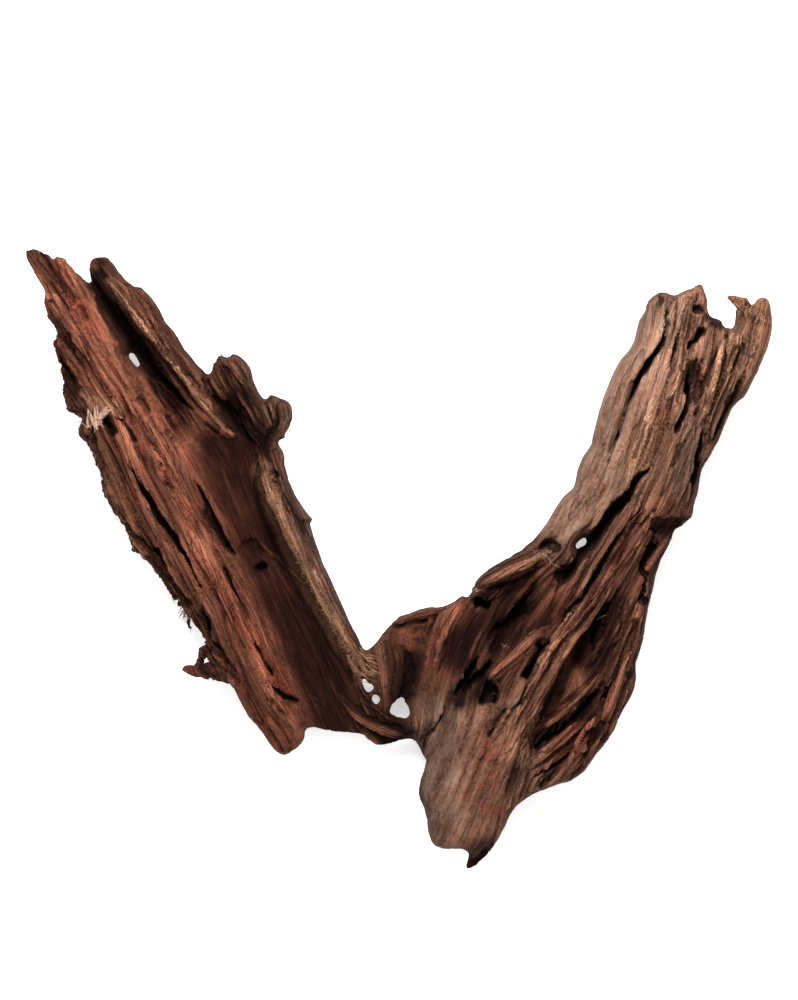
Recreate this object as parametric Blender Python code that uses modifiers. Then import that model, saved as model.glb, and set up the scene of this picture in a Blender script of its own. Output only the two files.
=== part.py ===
"""Piece of driftwood: a weathered fork of a hollow half-log limb and a ribbed root, one solid.

Metres, +Z up. The wood lies on three low spots, the hollow and the ribs of the root facing up.
Outlines, ridges and splits are lists of places in the photograph's pixels, read by eye, and
plan() turns them into metres. Heights and depths beside them are in millimetres.
"""
import math

import bpy
import numpy as np

# Driving dimensions
LENGTH = 0.446
THIN = 0.005
RIM = 0.0085
FLAT_RADIUS = 0.011
FINE = 0.0012
FACES = 11400

# Scale and middle of the photograph
SPAN_PIXELS = 743.0
MIDDLE_PIXELS = (399.5, 560.5)
PIXEL = LENGTH / SPAN_PIXELS
MM = 0.001

# Colours read from the photograph
WOOD_COLOUR = (0.235, 0.098, 0.058, 1.0)
WOOD_ROUGHNESS = 0.82

# Outline, clockwise from the tip of the hollow limb
OUTLINE = [
    (28, 254), (34, 250), (40, 251), (47, 254), (53, 257), (57, 262), (58, 258), (68, 261),
    (74, 268), (82, 276), (89, 283), (96, 286), (92, 278), (91, 271), (93, 262), (97, 259),
    (104, 258), (111, 259), (117, 266), (122, 274), (128, 281), (137, 288), (143, 288), (149, 293),
    (156, 301), (162, 311), (168, 324), (176, 332), (181, 340), (185, 349), (192, 357), (200, 367),
    (205, 371), (208, 376), (211, 373), (214, 367), (213, 364), (218, 361), (219, 356), (224, 357),
    (228, 359), (232, 356), (236, 355), (241, 357), (247, 362), (252, 369), (254, 376), (255, 382),
    (259, 391), (263, 398), (266, 400), (269, 399), (271, 395), (275, 396), (282, 398), (289, 401),
    (293, 406), (294, 413), (294, 420), (291, 427), (287, 434), (286, 440), (281, 440), (279, 442),
    (280, 446), (284, 451), (286, 458), (286, 465), (288, 472), (290, 480), (294, 490), (299, 499),
    (304, 507), (309, 514), (313, 518), (313, 521), (311, 523), (313, 530), (316, 540), (320, 551),
    (324, 563), (330, 575), (336, 589), (341, 600), (346, 611), (352, 624), (359, 637), (363, 646),
    (366, 650), (370, 647), (375, 642), (379, 637), (385, 630), (392, 622), (400, 616), (410, 612),
    (420, 608), (430, 606), (441, 606), (449, 603), (455, 600), (458, 597), (463, 594), (465, 596),
    (466, 600), (470, 592), (473, 588), (474, 583), (476, 579), (480, 575), (487, 569), (495, 564),
    (505, 558), (513, 553), (521, 549), (524, 545), (531, 540), (537, 533), (546, 521), (553, 509),
    (561, 497), (568, 491), (572, 487), (574, 479), (576, 470), (581, 457), (587, 449), (590, 444),
    (591, 437), (594, 425), (598, 410), (602, 398), (607, 385), (613, 371), (620, 359), (628, 350),
    (633, 341), (635, 332), (638, 320), (643, 311), (645, 304), (650, 298), (655, 295), (662, 294),
    (668, 295), (672, 297), (677, 295), (683, 291), (689, 289), (694, 286), (698, 284), (701, 286),
    (703, 293), (705, 302), (705, 312), (707, 319), (711, 319), (716, 321), (719, 322), (720, 327),
    (726, 329), (730, 330), (732, 327), (733, 320), (733, 311), (728, 305), (722, 300), (725, 298),
    (730, 298), (737, 299), (743, 299), (746, 303), (749, 308), (752, 304), (754, 300), (758, 298),
    (764, 299), (768, 303), (769, 312), (771, 320), (771, 328), (769, 337), (766, 349), (761, 362),
    (754, 376), (747, 390), (742, 398), (737, 401), (730, 409), (724, 424), (718, 440), (712, 452),
    (705, 463), (701, 470), (699, 480), (697, 493), (693, 508), (691, 518), (687, 522), (681, 528),
    (675, 530), (673, 538), (668, 548), (661, 560), (656, 575), (653, 590), (649, 607), (646, 622),
    (644, 638), (640, 651), (637, 661), (636, 669), (637, 679), (635, 689), (630, 700), (625, 709),
    (620, 720), (616, 730), (610, 740), (604, 747), (597, 754), (592, 762), (585, 772), (577, 778),
    (569, 783), (558, 785), (545, 790), (535, 794), (525, 800), (517, 806), (511, 814), (506, 825),
    (500, 837), (494, 847), (487, 856), (483, 860), (476, 867), (469, 870), (465, 871), (468, 862),
    (469, 854), (466, 851), (461, 849), (450, 850), (441, 849), (434, 846), (431, 842), (428, 832),
    (427, 822), (424, 808), (420, 800), (418, 791), (420, 782), (424, 770), (426, 761), (423, 758),
    (420, 752), (417, 745), (412, 740), (405, 740), (397, 743), (388, 746), (382, 747), (375, 745),
    (368, 740), (361, 736), (350, 735), (335, 734), (325, 732), (315, 729), (308, 729), (305, 732),
    (305, 738), (303, 743), (298, 748), (292, 752), (286, 756), (281, 756), (275, 752), (269, 744),
    (262, 733), (255, 725), (248, 717), (243, 708), (238, 699), (234, 690), (229, 685), (220, 682),
    (208, 680), (195, 678), (186, 675), (181, 671), (181, 667), (186, 665), (191, 665), (197, 664),
    (198, 655), (200, 648), (205, 646), (204, 638), (203, 628), (201, 621), (197, 617), (193, 615),
    (190, 618), (190, 623), (193, 628), (189, 631), (187, 628), (187, 620), (186, 615), (182, 610),
    (178, 606), (177, 602), (173, 601), (169, 600), (168, 592), (166, 586), (160, 580), (157, 574),
    (155, 567), (150, 562), (145, 559), (141, 554), (136, 554), (131, 552), (130, 543), (128, 534),
    (126, 527), (120, 520), (114, 511), (108, 502), (103, 490), (103, 480), (101, 470), (97, 462),
    (93, 452), (89, 443), (82, 437), (79, 431), (81, 425), (84, 420), (82, 416), (76, 414),
    (70, 411), (66, 407), (64, 399), (63, 390), (63, 383), (62, 376), (62, 368), (59, 360),
    (56, 351), (54, 345), (56, 339), (58, 333), (54, 326), (49, 319), (47, 311), (46, 301),
    (46, 292), (42, 282), (38, 275), (33, 266), (29, 258),
]

# Holes that daylight shows through
SEE_THROUGH = {
    "prong_slot": [
        (130, 353), (134, 354), (138, 359), (141, 365), (140, 369), (137, 367), (132, 361),
        (129, 356),
    ],
    "twig_eye": [(206, 657), (209, 661), (206, 664), (203, 661)],
    "curl_upper": [
        (363, 679), (368, 679), (370, 684), (373, 687), (372, 690), (369, 693), (365, 688),
        (362, 682),
    ],
    "curl_middle": [(373, 697), (376, 695), (379, 698), (379, 702), (376, 704), (372, 700)],
    "curl_lower": [
        (403, 697), (406, 703), (409, 709), (410, 715), (406, 719), (398, 717), (390, 713),
        (392, 706), (397, 701),
    ],
    "root_window": [
        (583, 537), (586, 539), (586, 543), (582, 546), (576, 549), (574, 547), (578, 541),
    ],
    "root_chink": [(561, 570), (564, 572), (561, 574), (557, 574)],
}

# Gauge points: place, then height of the upper face and of the underside in millimetres
GAUGES = [
    (36, 258, 50, 38), (60, 300, 52, 25), (50, 310, 40, 28), (85, 330, 60, 14), (60, 360, 40, 22),
    (100, 350, 60, 10), (70, 275, 52, 34), (100, 262, 58, 40), (125, 290, 64, 30),
    (150, 330, 66, 20), (175, 345, 56, 25), (190, 372, 60, 15), (215, 415, 56, 10),
    (232, 438, 48, 8), (150, 300, 56, 30), (75, 400, 36, 18), (68, 385, 36, 20), (95, 420, 52, 14),
    (110, 470, 54, 10), (135, 520, 50, 10), (165, 560, 44, 14), (185, 600, 38, 18),
    (203, 640, 36, 20), (188, 625, 30, 23), (185, 670, 30, 21), (215, 672, 36, 16),
    (125, 395, 61, 6), (150, 450, 60, 4), (180, 500, 60, 3), (210, 560, 58, 4), (232, 620, 54, 5),
    (245, 670, 50, 6), (262, 715, 46, 8), (283, 748, 40, 14), (298, 735, 36, 12),
    (180, 410, 42, 4), (205, 440, 36, 3), (235, 490, 28, 2), (262, 550, 22, 3), (290, 610, 19, 3),
    (315, 660, 17, 3), (335, 705, 15, 4), (310, 712, 22, 5), (350, 725, 16, 6), (262, 440, 50, 8),
    (272, 490, 50, 8), (292, 520, 52, 10), (312, 560, 54, 12), (330, 600, 52, 14),
    (345, 630, 48, 16), (360, 655, 42, 18), (352, 690, 26, 8), (370, 700, 32, 10),
    (215, 375, 52, 22), (235, 362, 62, 30), (250, 390, 62, 22), (268, 420, 58, 20),
    (283, 405, 56, 30), (288, 425, 52, 30), (240, 410, 48, 12), (275, 455, 54, 18),
    (380, 730, 30, 12), (400, 732, 32, 14), (420, 735, 36, 14), (425, 752, 28, 16),
    (375, 655, 34, 20), (390, 640, 40, 20), (410, 618, 46, 22), (435, 612, 48, 22),
    (400, 670, 36, 16), (385, 690, 32, 18), (415, 690, 40, 14), (430, 715, 42, 12),
    (440, 670, 46, 12), (460, 640, 50, 12), (480, 615, 46, 14), (475, 590, 50, 26),
    (500, 570, 56, 24), (525, 555, 60, 22), (545, 535, 62, 22), (565, 505, 62, 20),
    (590, 460, 64, 18), (605, 420, 62, 18), (620, 370, 60, 20), (645, 320, 58, 24),
    (655, 300, 55, 30), (620, 470, 74, 8), (645, 400, 76, 6), (665, 350, 74, 10),
    (690, 300, 66, 30), (700, 290, 60, 36), (680, 430, 74, 4), (700, 370, 70, 6),
    (720, 340, 66, 14), (745, 320, 62, 22), (765, 315, 56, 28), (755, 350, 58, 20),
    (735, 390, 56, 14), (715, 430, 56, 12), (700, 460, 58, 10), (690, 500, 58, 12),
    (725, 302, 60, 48), (600, 540, 72, 6), (575, 590, 72, 4), (560, 620, 70, 4), (530, 600, 50, 6),
    (520, 620, 48, 6), (545, 660, 70, 4), (520, 700, 68, 4), (495, 740, 64, 3), (480, 780, 58, 0),
    (455, 780, 54, 0), (440, 790, 50, 4), (450, 830, 46, 2), (470, 830, 50, 2), (475, 860, 34, 16),
    (495, 830, 46, 6), (650, 540, 50, 14), (650, 570, 50, 12), (630, 600, 54, 8),
    (640, 640, 50, 12), (620, 650, 58, 8), (635, 680, 44, 14), (615, 700, 54, 10),
    (600, 730, 54, 8), (585, 700, 50, 6), (570, 740, 46, 6), (560, 760, 46, 8), (540, 780, 42, 12),
    (590, 750, 48, 12), (612, 732, 40, 14), (520, 795, 40, 10), (600, 680, 54, 6),
    (575, 660, 42, 6), (565, 690, 42, 6),
]
GAUGE_SOFTNESS = 26.0
UNDER_CLEARANCE = 2.0
UNDER_FURROW = 6.0
SIDE_FURROW = 2.2
RIB_HEIGHT = 1.3
RIM_LEVEL = 0.5

# Splits and hollows: depth in millimetres, reach in pixels to the left and right of the run
SPLITS = [
    (34, 6, 24, [
        (97, 288), (106, 304), (118, 326), (128, 345), (138, 362), (148, 378), (160, 394),
        (172, 412),
    ]),
    (14, 12, 5, [(58, 300), (66, 335), (80, 358), (95, 382), (112, 400)]),
    (9, 7, 4, [(60, 350), (66, 370), (76, 388), (86, 396)]),
    (6, 3, 3, [(40, 257), (43, 260), (48, 264)]),
    (4, 2.5, 2.5, [(60, 262), (70, 275), (80, 290), (88, 302)]),
    (5, 3.5, 3.5, [(82, 313), (86, 317), (90, 321)]),
    (2.5, 3, 3, [(72, 298), (78, 308), (84, 320)]),
    (2.5, 2.5, 2.5, [(84, 337), (90, 347), (98, 360)]),
    (7, 3, 3, [(117, 410), (126, 424), (138, 442)]),
    (7, 4, 3, [(141, 395), (145, 404), (152, 414)]),
    (3, 2, 2, [(158, 415), (168, 435), (178, 452), (188, 470)]),
    (22, 5, 7, [(186, 468), (196, 488), (206, 505), (216, 524), (226, 542), (234, 554)]),
    (6, 2.5, 2.5, [(160, 462), (168, 478), (179, 497)]),
    (4, 2, 2, [(152, 440), (162, 456), (176, 480)]),
    (26, 5, 8, [
        (126, 450), (136, 472), (145, 490), (158, 510), (170, 528), (182, 548), (192, 563),
        (203, 582),
    ]),
    (15, 5, 5, [(107, 418), (112, 426), (119, 438)]),
    (4, 3, 3, [(94, 425), (100, 450), (108, 470), (114, 485)]),
    (15, 4, 4, [(213, 545), (225, 565), (233, 585), (244, 605), (252, 622), (262, 634)]),
    (5, 2, 2, [(226, 556), (238, 576), (250, 594)]),
    (17, 4, 4, [(254, 641), (260, 650), (264, 660), (269, 668), (276, 678)]),
    (17, 5, 4, [(266, 679), (276, 690), (286, 697), (296, 701), (306, 704)]),
    (5, 2, 2, [(270, 696), (280, 710), (291, 719)]),
    (16, 5, 4, [(204, 604), (210, 620), (214, 640), (222, 653), (233, 667)]),
    (12, 5, 5, [(255, 569), (260, 567), (266, 565)]),
    (6, 6, 6, [(246, 540), (250, 548), (257, 558)]),
    (20, 18, 3, [
        (259, 455), (262, 480), (266, 502), (277, 522), (286, 545), (297, 563), (309, 582),
        (320, 600), (330, 620), (338, 641), (347, 657), (354, 673), (360, 686),
    ]),
    (9, 6, 5, [(280, 548), (292, 562), (307, 582)]),
    (2.5, 2, 2, [(300, 570), (312, 605), (325, 640), (340, 670)]),
    (2.5, 3, 3, [(265, 590), (275, 620), (288, 650), (300, 685)]),
    (16, 9, 12, [(204, 375), (213, 392), (226, 410), (240, 428), (255, 447)]),
    (6, 3, 3, [(230, 358), (239, 378), (248, 398), (258, 418)]),
    (7, 4, 4, [(265, 400), (271, 418), (279, 436)]),
    (8, 5, 4, [(276, 470), (277, 480), (279, 490)]),
    (6, 5, 5, [(134, 303), (145, 320), (157, 338), (168, 355), (180, 372), (192, 387)]),
    (6, 3, 3, [(185, 374), (197, 388), (209, 402)]),
    (13, 6, 6, [(205, 425), (213, 430), (221, 434)]),
    (15, 4, 5, [
        (665, 308), (664, 330), (660, 342), (655, 352), (645, 362), (636, 375), (628, 390),
        (622, 402), (618, 415), (614, 430), (609, 448), (606, 460),
    ]),
    (12, 4, 4, [(673, 330), (669, 350), (665, 362), (660, 383)]),
    (14, 5, 5, [(702, 322), (692, 338), (684, 353)]),
    (32, 5, 8, [(683, 368), (682, 385), (681, 400), (679, 412), (675, 423), (670, 434)]),
    (14, 8, 8, [(680, 362), (688, 360), (699, 362)]),
    (12, 5, 5, [(698, 380), (699, 398), (694, 411), (685, 421)]),
    (8, 3, 3, [(717, 340), (711, 360), (708, 375), (704, 390), (701, 404)]),
    (6, 2, 2, [(726, 332), (722, 350), (719, 368)]),
    (9, 4, 4, [(743, 332), (738, 350), (733, 362), (725, 378)]),
    (17, 4, 9, [
        (747, 358), (739, 375), (733, 388), (726, 401), (717, 416), (709, 432), (700, 455),
    ]),
    (4, 3, 3, [(753, 346), (748, 362), (744, 374)]),
    (10, 4, 4, [(692, 308), (693, 312), (692, 317)]),
    (8, 4, 4, [(696, 287), (697, 291)]),
    (4, 6, 6, [(650, 398), (640, 420), (630, 440), (622, 460), (612, 480), (602, 500)]),
    (5, 4, 4, [(692, 422), (682, 440), (676, 452), (668, 470)]),
    (11, 4, 4, [(697, 422), (697, 445), (692, 460), (690, 475), (688, 490), (683, 508)]),
    (32, 9, 6, [
        (654, 456), (643, 472), (632, 482), (625, 495), (615, 508), (603, 522), (590, 540),
        (578, 556), (566, 574), (552, 592),
    ]),
    (14, 4, 4, [
        (638, 502), (628, 520), (617, 538), (607, 550), (598, 562), (588, 578), (578, 595),
        (566, 610), (554, 623),
    ]),
    (18, 22, 3, [(638, 519), (655, 518), (672, 518), (690, 517)]),
    (14, 6, 5, [(656, 528), (648, 548), (643, 565), (639, 588)]),
    (26, 7, 5, [(610, 594), (600, 612), (594, 628), (590, 642), (583, 664)]),
    (16, 3, 16, [
        (604, 592), (584, 622), (568, 648), (555, 675), (545, 698), (537, 720), (531, 745),
        (528, 772),
    ]),
    (24, 8, 7, [(594, 684), (580, 704), (566, 720), (550, 732), (536, 744), (529, 756)]),
    (9, 3, 3, [(574, 742), (560, 757), (545, 767), (530, 776)]),
    (20, 5, 5, [(609, 670), (605, 690), (598, 705), (592, 722), (585, 740), (576, 760)]),
    (8, 3, 3, [(596, 670), (591, 688), (583, 708)]),
    (8, 6, 5, [(638, 650), (631, 666), (622, 678)]),
    (8, 3, 12, [(628, 686), (617, 712), (608, 735), (597, 757)]),
    (24, 8, 8, [(473, 600), (484, 603), (494, 607)]),
    (28, 7, 9, [(481, 655), (470, 670), (461, 685), (453, 698)]),
    (15, 7, 8, [(493, 676), (488, 692), (482, 702)]),
    (24, 6, 7, [(546, 641), (532, 658), (524, 670), (515, 682)]),
    (16, 9, 9, [(534, 586), (516, 610), (502, 628), (488, 648)]),
    (11, 2.5, 2.5, [(453, 696), (442, 712), (435, 725), (426, 742)]),
    (6, 8, 2, [(472, 592), (490, 585), (510, 578), (530, 570), (548, 562)]),
    (9, 7, 7, [(390, 645), (400, 652), (406, 664), (409, 680), (400, 698)]),
    (3, 2, 2, [(376, 691), (388, 687), (400, 688)]),
    (6, 7, 2, [(394, 626), (412, 620), (432, 617)]),
    (12, 7, 6, [(488, 846), (477, 860), (468, 870)]),
    (4, 2, 2, [(499, 812), (493, 834), (487, 850)]),
    (6, 9, 6, [(520, 752), (513, 774), (506, 797)]),
    (10, 6, 6, [(538, 545), (548, 546), (558, 548)]),
    (5, 4, 4, [(502, 698), (494, 715), (487, 732)]),
    (4, 2, 2, [(446, 655), (438, 668), (430, 682)]),
    (3, 3, 3, [(512, 696), (497, 728), (480, 762), (464, 798)]),
]
ROOT_FADE = 0.3

# Ridges and strands: rise in millimetres, reach in pixels to the left and right of the run
RIDGES = [
    (7, 5, 6, [
        (96, 260), (110, 280), (125, 300), (140, 322), (155, 345), (172, 368), (190, 390),
        (205, 410), (222, 425), (236, 436),
    ]),
    (4, 7, 7, [(62, 322), (82, 350), (100, 375), (122, 402), (142, 430)]),
    (3, 4, 4, [(38, 256), (55, 283), (70, 305), (84, 325), (100, 348)]),
    (3, 8, 8, [(160, 460), (185, 510), (205, 555), (222, 595), (244, 645)]),
    (5, 7, 7, [(276, 480), (300, 530), (318, 570), (335, 605), (350, 635), (366, 662)]),
    (6, 5, 5, [(358, 684), (372, 706), (388, 718), (405, 724), (424, 730)]),
    (3, 9, 9, [(90, 420), (105, 465), (120, 500), (150, 540)]),
    (6, 4, 4, [(176, 603), (195, 612), (203, 622), (207, 640), (215, 655), (230, 670)]),
    (7, 4, 3, [(258, 543), (275, 556), (290, 570), (309, 590)]),
    (6, 5, 5, [(224, 422), (232, 430), (226, 440), (214, 438)]),
    (5, 6, 6, [(222, 366), (236, 390), (248, 412), (262, 440)]),
    (6, 6, 6, [(645, 500), (622, 518), (606, 540), (594, 558), (582, 578), (572, 598), (556, 616)]),
    (9, 9, 8, [
        (652, 508), (630, 535), (612, 560), (600, 580), (585, 602), (565, 628), (548, 655),
        (530, 690), (515, 720), (500, 750),
    ]),
    (5, 3, 3, [(717, 344), (712, 370), (706, 395), (702, 410), (695, 430)]),
    (5, 6, 6, [(737, 340), (722, 380), (712, 405), (704, 430), (694, 464)]),
    (4, 5, 5, [(680, 345), (672, 380), (664, 410), (652, 440)]),
    (7, 4, 4, [(602, 662), (585, 685), (570, 700), (552, 712), (534, 724)]),
    (7, 4, 4, [(596, 686), (580, 712), (566, 730), (545, 748), (528, 764)]),
    (5, 4, 4, [(602, 676), (596, 700), (588, 722), (573, 748)]),
    (9, 7, 6, [(624, 655), (615, 685), (605, 710), (596, 735), (587, 760)]),
    (6, 6, 5, [(645, 575), (639, 615), (634, 640), (623, 666)]),
    (6, 8, 7, [(472, 586), (500, 571), (525, 559), (550, 548)]),
    (5, 5, 5, [(446, 607), (415, 613), (392, 624)]),
    (5, 4, 4, [(552, 620), (525, 645), (505, 662), (488, 676)]),
    (6, 4, 4, [(546, 660), (525, 680), (510, 690), (496, 704)]),
    (6, 3, 3, [(528, 730), (527, 760), (523, 780), (511, 808)]),
]

# Strands proud of the splits: half thickness in pixels, lift in millimetres, run
STRANDS = [
    (8, 3, [
        (650, 508), (628, 537), (610, 562), (596, 584), (580, 606), (562, 632), (545, 660),
        (527, 694), (510, 725), (494, 756),
    ]),
    (5, 3, [
        (636, 492), (620, 514), (604, 538), (592, 556), (580, 576), (568, 598), (552, 622),
        (540, 642),
    ]),
    (7, 4, [(641, 612), (629, 643), (618, 676), (607, 705), (596, 730), (584, 760)]),
    (5, 6, [(606, 656), (588, 679), (572, 697), (552, 712), (527, 736)]),
    (5, 5, [(601, 684), (582, 711), (566, 730), (546, 750), (527, 768)]),
    (4.5, 3, [(603, 672), (598, 696), (588, 722), (572, 750)]),
    (5.5, 2, [(338, 694), (352, 710), (370, 721), (390, 730), (410, 736), (434, 742)]),
    (7, 2, [(103, 266), (126, 298), (150, 335), (172, 368), (196, 402), (214, 422), (232, 437)]),
    (6, 1.5, [(88, 425), (106, 480), (134, 535), (166, 575), (192, 612), (214, 645), (234, 668)]),
    (5.5, 1.5, [
        (270, 462), (286, 512), (306, 558), (326, 600), (345, 636), (362, 664), (370, 684),
    ]),
    (6, 2, [(223, 364), (238, 390), (252, 415), (268, 442)]),
    (7, 2, [(282, 402), (284, 418), (276, 436), (266, 452)]),
    (6, 2, [(690, 430), (704, 395), (714, 365), (722, 338)]),
    (6, 2, [(660, 402), (672, 375), (680, 340), (688, 300)]),
    (7, 1.5, [(640, 352), (622, 392), (606, 440), (590, 480), (566, 520)]),
    (6, 2, [(472, 589), (500, 574), (524, 562), (552, 548)]),
    (5, 2, [(548, 622), (524, 646), (504, 663), (486, 680)]),
    (4.5, 1.5, [(548, 664), (526, 682), (508, 694), (492, 712)]),
]
STRAND_SINK = 6.0

# Three feet that carry the weight, and the lean of the grain in each limb, in degrees
FEET = [(192, 432), (662, 440), (458, 788)]
FOOT_PRESS = 2.0
FOOT_SPREAD = 0.034
LIMB_LEAN = 27.5
ROOT_LEAN = -23.0
FORK_PIXELS = 400


def clear_scene():
    for item in list(bpy.data.objects):
        bpy.data.objects.remove(item, do_unlink=True)


def collection(name, hidden=False):
    group = bpy.data.collections.new(name)
    bpy.context.scene.collection.children.link(group)
    group.hide_render = hidden
    return group


def plan(px, py):
    """Metres on the ground for a place in the photograph."""
    return (px - MIDDLE_PIXELS[0]) * PIXEL, (MIDDLE_PIXELS[1] - py) * PIXEL


def pixels(x, y):
    """The place in the photograph above a point of the ground."""
    return x / PIXEL + MIDDLE_PIXELS[0], MIDDLE_PIXELS[1] - y / PIXEL


def eased(share):
    share = np.clip(share, 0.0, 1.0)
    return share * share * (3.0 - 2.0 * share)


def run_of(px, py, points):
    """Distance to a line of points, which side of it, and the share of its length."""
    line = np.array(points, float)
    lengths = np.hypot(*np.diff(line, axis=0).T)
    nearest = np.full(px.shape, 1e9)
    side = np.zeros(px.shape)
    share = np.zeros(px.shape)
    begun = 0.0
    for (ax, ay), (bx, by), length in zip(line[:-1], line[1:], lengths):
        ux = (bx - ax) / length
        uy = (by - ay) / length
        along = np.clip((px - ax) * ux + (py - ay) * uy, 0.0, length)
        dx = px - ax - along * ux
        dy = py - ay - along * uy
        distance = np.hypot(dx, dy)
        closer = distance < nearest
        nearest = np.where(closer, distance, nearest)
        side = np.where(closer, ux * dy - uy * dx, side)
        share = np.where(closer, (begun + along) / lengths.sum(), share)
        begun += length
    return nearest, side, share


def stroke(px, py, left, right, points):
    """How strongly one ridge or split works at each place, 0 to 1, fading to both ends."""
    strength = np.zeros(px.shape)
    line = np.array(points, float)
    reach = max(left, right)
    low = line.min(axis=0) - reach
    high = line.max(axis=0) + reach
    near = (px > low[0]) & (px < high[0]) & (py > low[1]) & (py < high[1])
    distance, side, share = run_of(px[near], py[near], points)
    fade = eased(np.minimum(share, 1.0 - share) / ROOT_FADE + 0.25)
    width = np.where(side > 0, left, right) * (0.45 + 0.55 * fade)
    strength[near] = eased(1.0 - distance / width) * fade
    return strength


def lattice_noise(u, v, seed):
    """Smooth random values between -1 and 1 over the plane, from a seeded lattice."""
    values = np.random.default_rng(seed).uniform(-1.0, 1.0, (128, 128))
    iu = np.floor(u).astype(int)
    iv = np.floor(v).astype(int)
    fu = eased(u - iu)
    fv = eased(v - iv)
    near = values[iu % 128, iv % 128] * (1 - fu) + values[(iu + 1) % 128, iv % 128] * fu
    far = values[iu % 128, (iv + 1) % 128] * (1 - fu) + values[(iu + 1) % 128, (iv + 1) % 128] * fu
    return near * (1 - fv) + far * fv


def along_grain(px, py):
    """Distances along and across the grain, in pixels: the limb's, or the root's past the fork."""
    limb = px < FORK_PIXELS
    lean = np.where(limb, math.radians(LIMB_LEAN), math.radians(ROOT_LEAN))
    along = px * np.sin(lean) + py * np.cos(lean)
    across = px * np.cos(lean) - py * np.sin(lean)
    return along, across


def gauge_surface(px, py, gauges, column):
    """A smooth surface through the heights of the gauge points."""
    known = np.array(gauges, float)
    places = known[:, :2]
    apart = np.hypot(places[:, None, 0] - places[None, :, 0], places[:, None, 1] - places[None, :, 1])
    count = len(known)
    system = np.zeros((count + 1, count + 1))
    system[:count, :count] = np.sqrt(apart ** 2 + GAUGE_SOFTNESS ** 2)
    system[:count, count] = 1.0
    system[count, :count] = 1.0
    heights = np.append(known[:, column], 0.0)
    weights = np.linalg.solve(system, heights)
    surface = np.full(px.shape, weights[-1])
    for (gx, gy), weight in zip(places, weights[:-1]):
        surface += weight * np.sqrt((px - gx) ** 2 + (py - gy) ** 2 + GAUGE_SOFTNESS ** 2)
    return surface


def upper_surface(px, py):
    """Height of the upper face in millimetres: gauges, ridges, splits and ribs of grain."""
    height = gauge_surface(px, py, GAUGES, 2)
    for rise, left, right, points in RIDGES:
        height += rise * stroke(px, py, left, right, points)
    cut = np.zeros(px.shape)
    for depth, left, right, points in SPLITS:
        cut = np.maximum(cut, depth * stroke(px, py, left, right, points))
    along, across = along_grain(px, py)
    height += RIB_HEIGHT * lattice_noise(along / 60.0, across / 7.0, 3)
    height += 0.5 * RIB_HEIGHT * lattice_noise(along / 25.0, across / 3.5, 4)
    return height - cut


def lower_surface(px, py):
    """Height of the underside in millimetres: gauges, long furrows of the grain and the three feet."""
    height = gauge_surface(px, py, GAUGES, 3) + UNDER_CLEARANCE
    along, across = along_grain(px, py)
    furrow = lattice_noise(along / 110.0, across / 13.0, 8)
    height += UNDER_FURROW * eased(furrow * 1.6)
    height += 0.35 * UNDER_FURROW * lattice_noise(along / 45.0, across / 6.0, 9)
    for fx, fy in FEET:
        away = np.hypot(px - fx, py - fy) * PIXEL
        press = eased((FOOT_SPREAD - away) / (FOOT_SPREAD - FLAT_RADIUS))
        height = height * (1 - press) - FOOT_PRESS * press
    return height


def strands(name, group):
    """Tapered strands of wood that stand proud of the splits, their roots sunk in the fork."""
    curve = bpy.data.curves.new(name, "CURVE")
    curve.dimensions = "3D"
    curve.bevel_depth = PIXEL
    curve.bevel_resolution = 3
    curve.use_fill_caps = True
    curve.resolution_u = 6
    for thickness, lift, points in STRANDS:
        line = np.array(points, float)
        heights = gauge_surface(line[:, 0], line[:, 1], GAUGES, 2) + lift
        spline = curve.splines.new("NURBS")
        spline.points.add(len(points) - 1)
        spline.use_endpoint_u = True
        last = len(points) - 1
        for number, (point, place, height) in enumerate(zip(spline.points, points, heights)):
            share = number / last
            sunk = STRAND_SINK * (abs(2 * share - 1)) ** 3
            point.co = (*plan(*place), (height - sunk) * MM - thickness * PIXEL, 1.0)
            point.radius = thickness * (1.0 - 0.55 * (abs(2 * share - 1)) ** 2)
    piece = bpy.data.objects.new(name, curve)
    group.objects.link(piece)
    return piece


def flat_outline(name, group):
    """The outline and its see-through holes as one filled flat curve."""
    curve = bpy.data.curves.new(name, "CURVE")
    curve.dimensions = "2D"
    curve.fill_mode = "BOTH"
    curve.extrude = THIN / 4
    for points in (OUTLINE, *SEE_THROUGH.values()):
        spline = curve.splines.new("POLY")
        spline.points.add(len(points) - 1)
        for point, place in zip(spline.points, points):
            point.co = (*plan(*place), 0.0, 1.0)
        spline.use_cyclic_u = True
    flat = bpy.data.objects.new(name, curve)
    group.objects.link(flat)
    return flat


def become_mesh(piece):
    bpy.ops.object.select_all(action="DESELECT")
    piece.select_set(True)
    bpy.context.view_layer.objects.active = piece
    bpy.ops.object.convert(target="MESH")


def apply_modifier(piece, kind, **settings):
    modifier = piece.modifiers.new(kind.title(), kind)
    for name, value in settings.items():
        setattr(modifier, name, value)
    bpy.context.view_layer.objects.active = piece
    bpy.ops.object.modifier_apply(modifier=modifier.name)


def remesh(piece, size):
    apply_modifier(piece, "REMESH", mode="VOXEL", voxel_size=size, adaptivity=0.0)


def to_edge(px, py):
    """Metres to the nearest outline or see-through hole."""
    nearest = np.full(px.shape, 1e9)
    for points in (OUTLINE, *SEE_THROUGH.values()):
        nearest = np.minimum(nearest, run_of(px, py, [*points, points[0]])[0])
    return nearest * PIXEL


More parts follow.
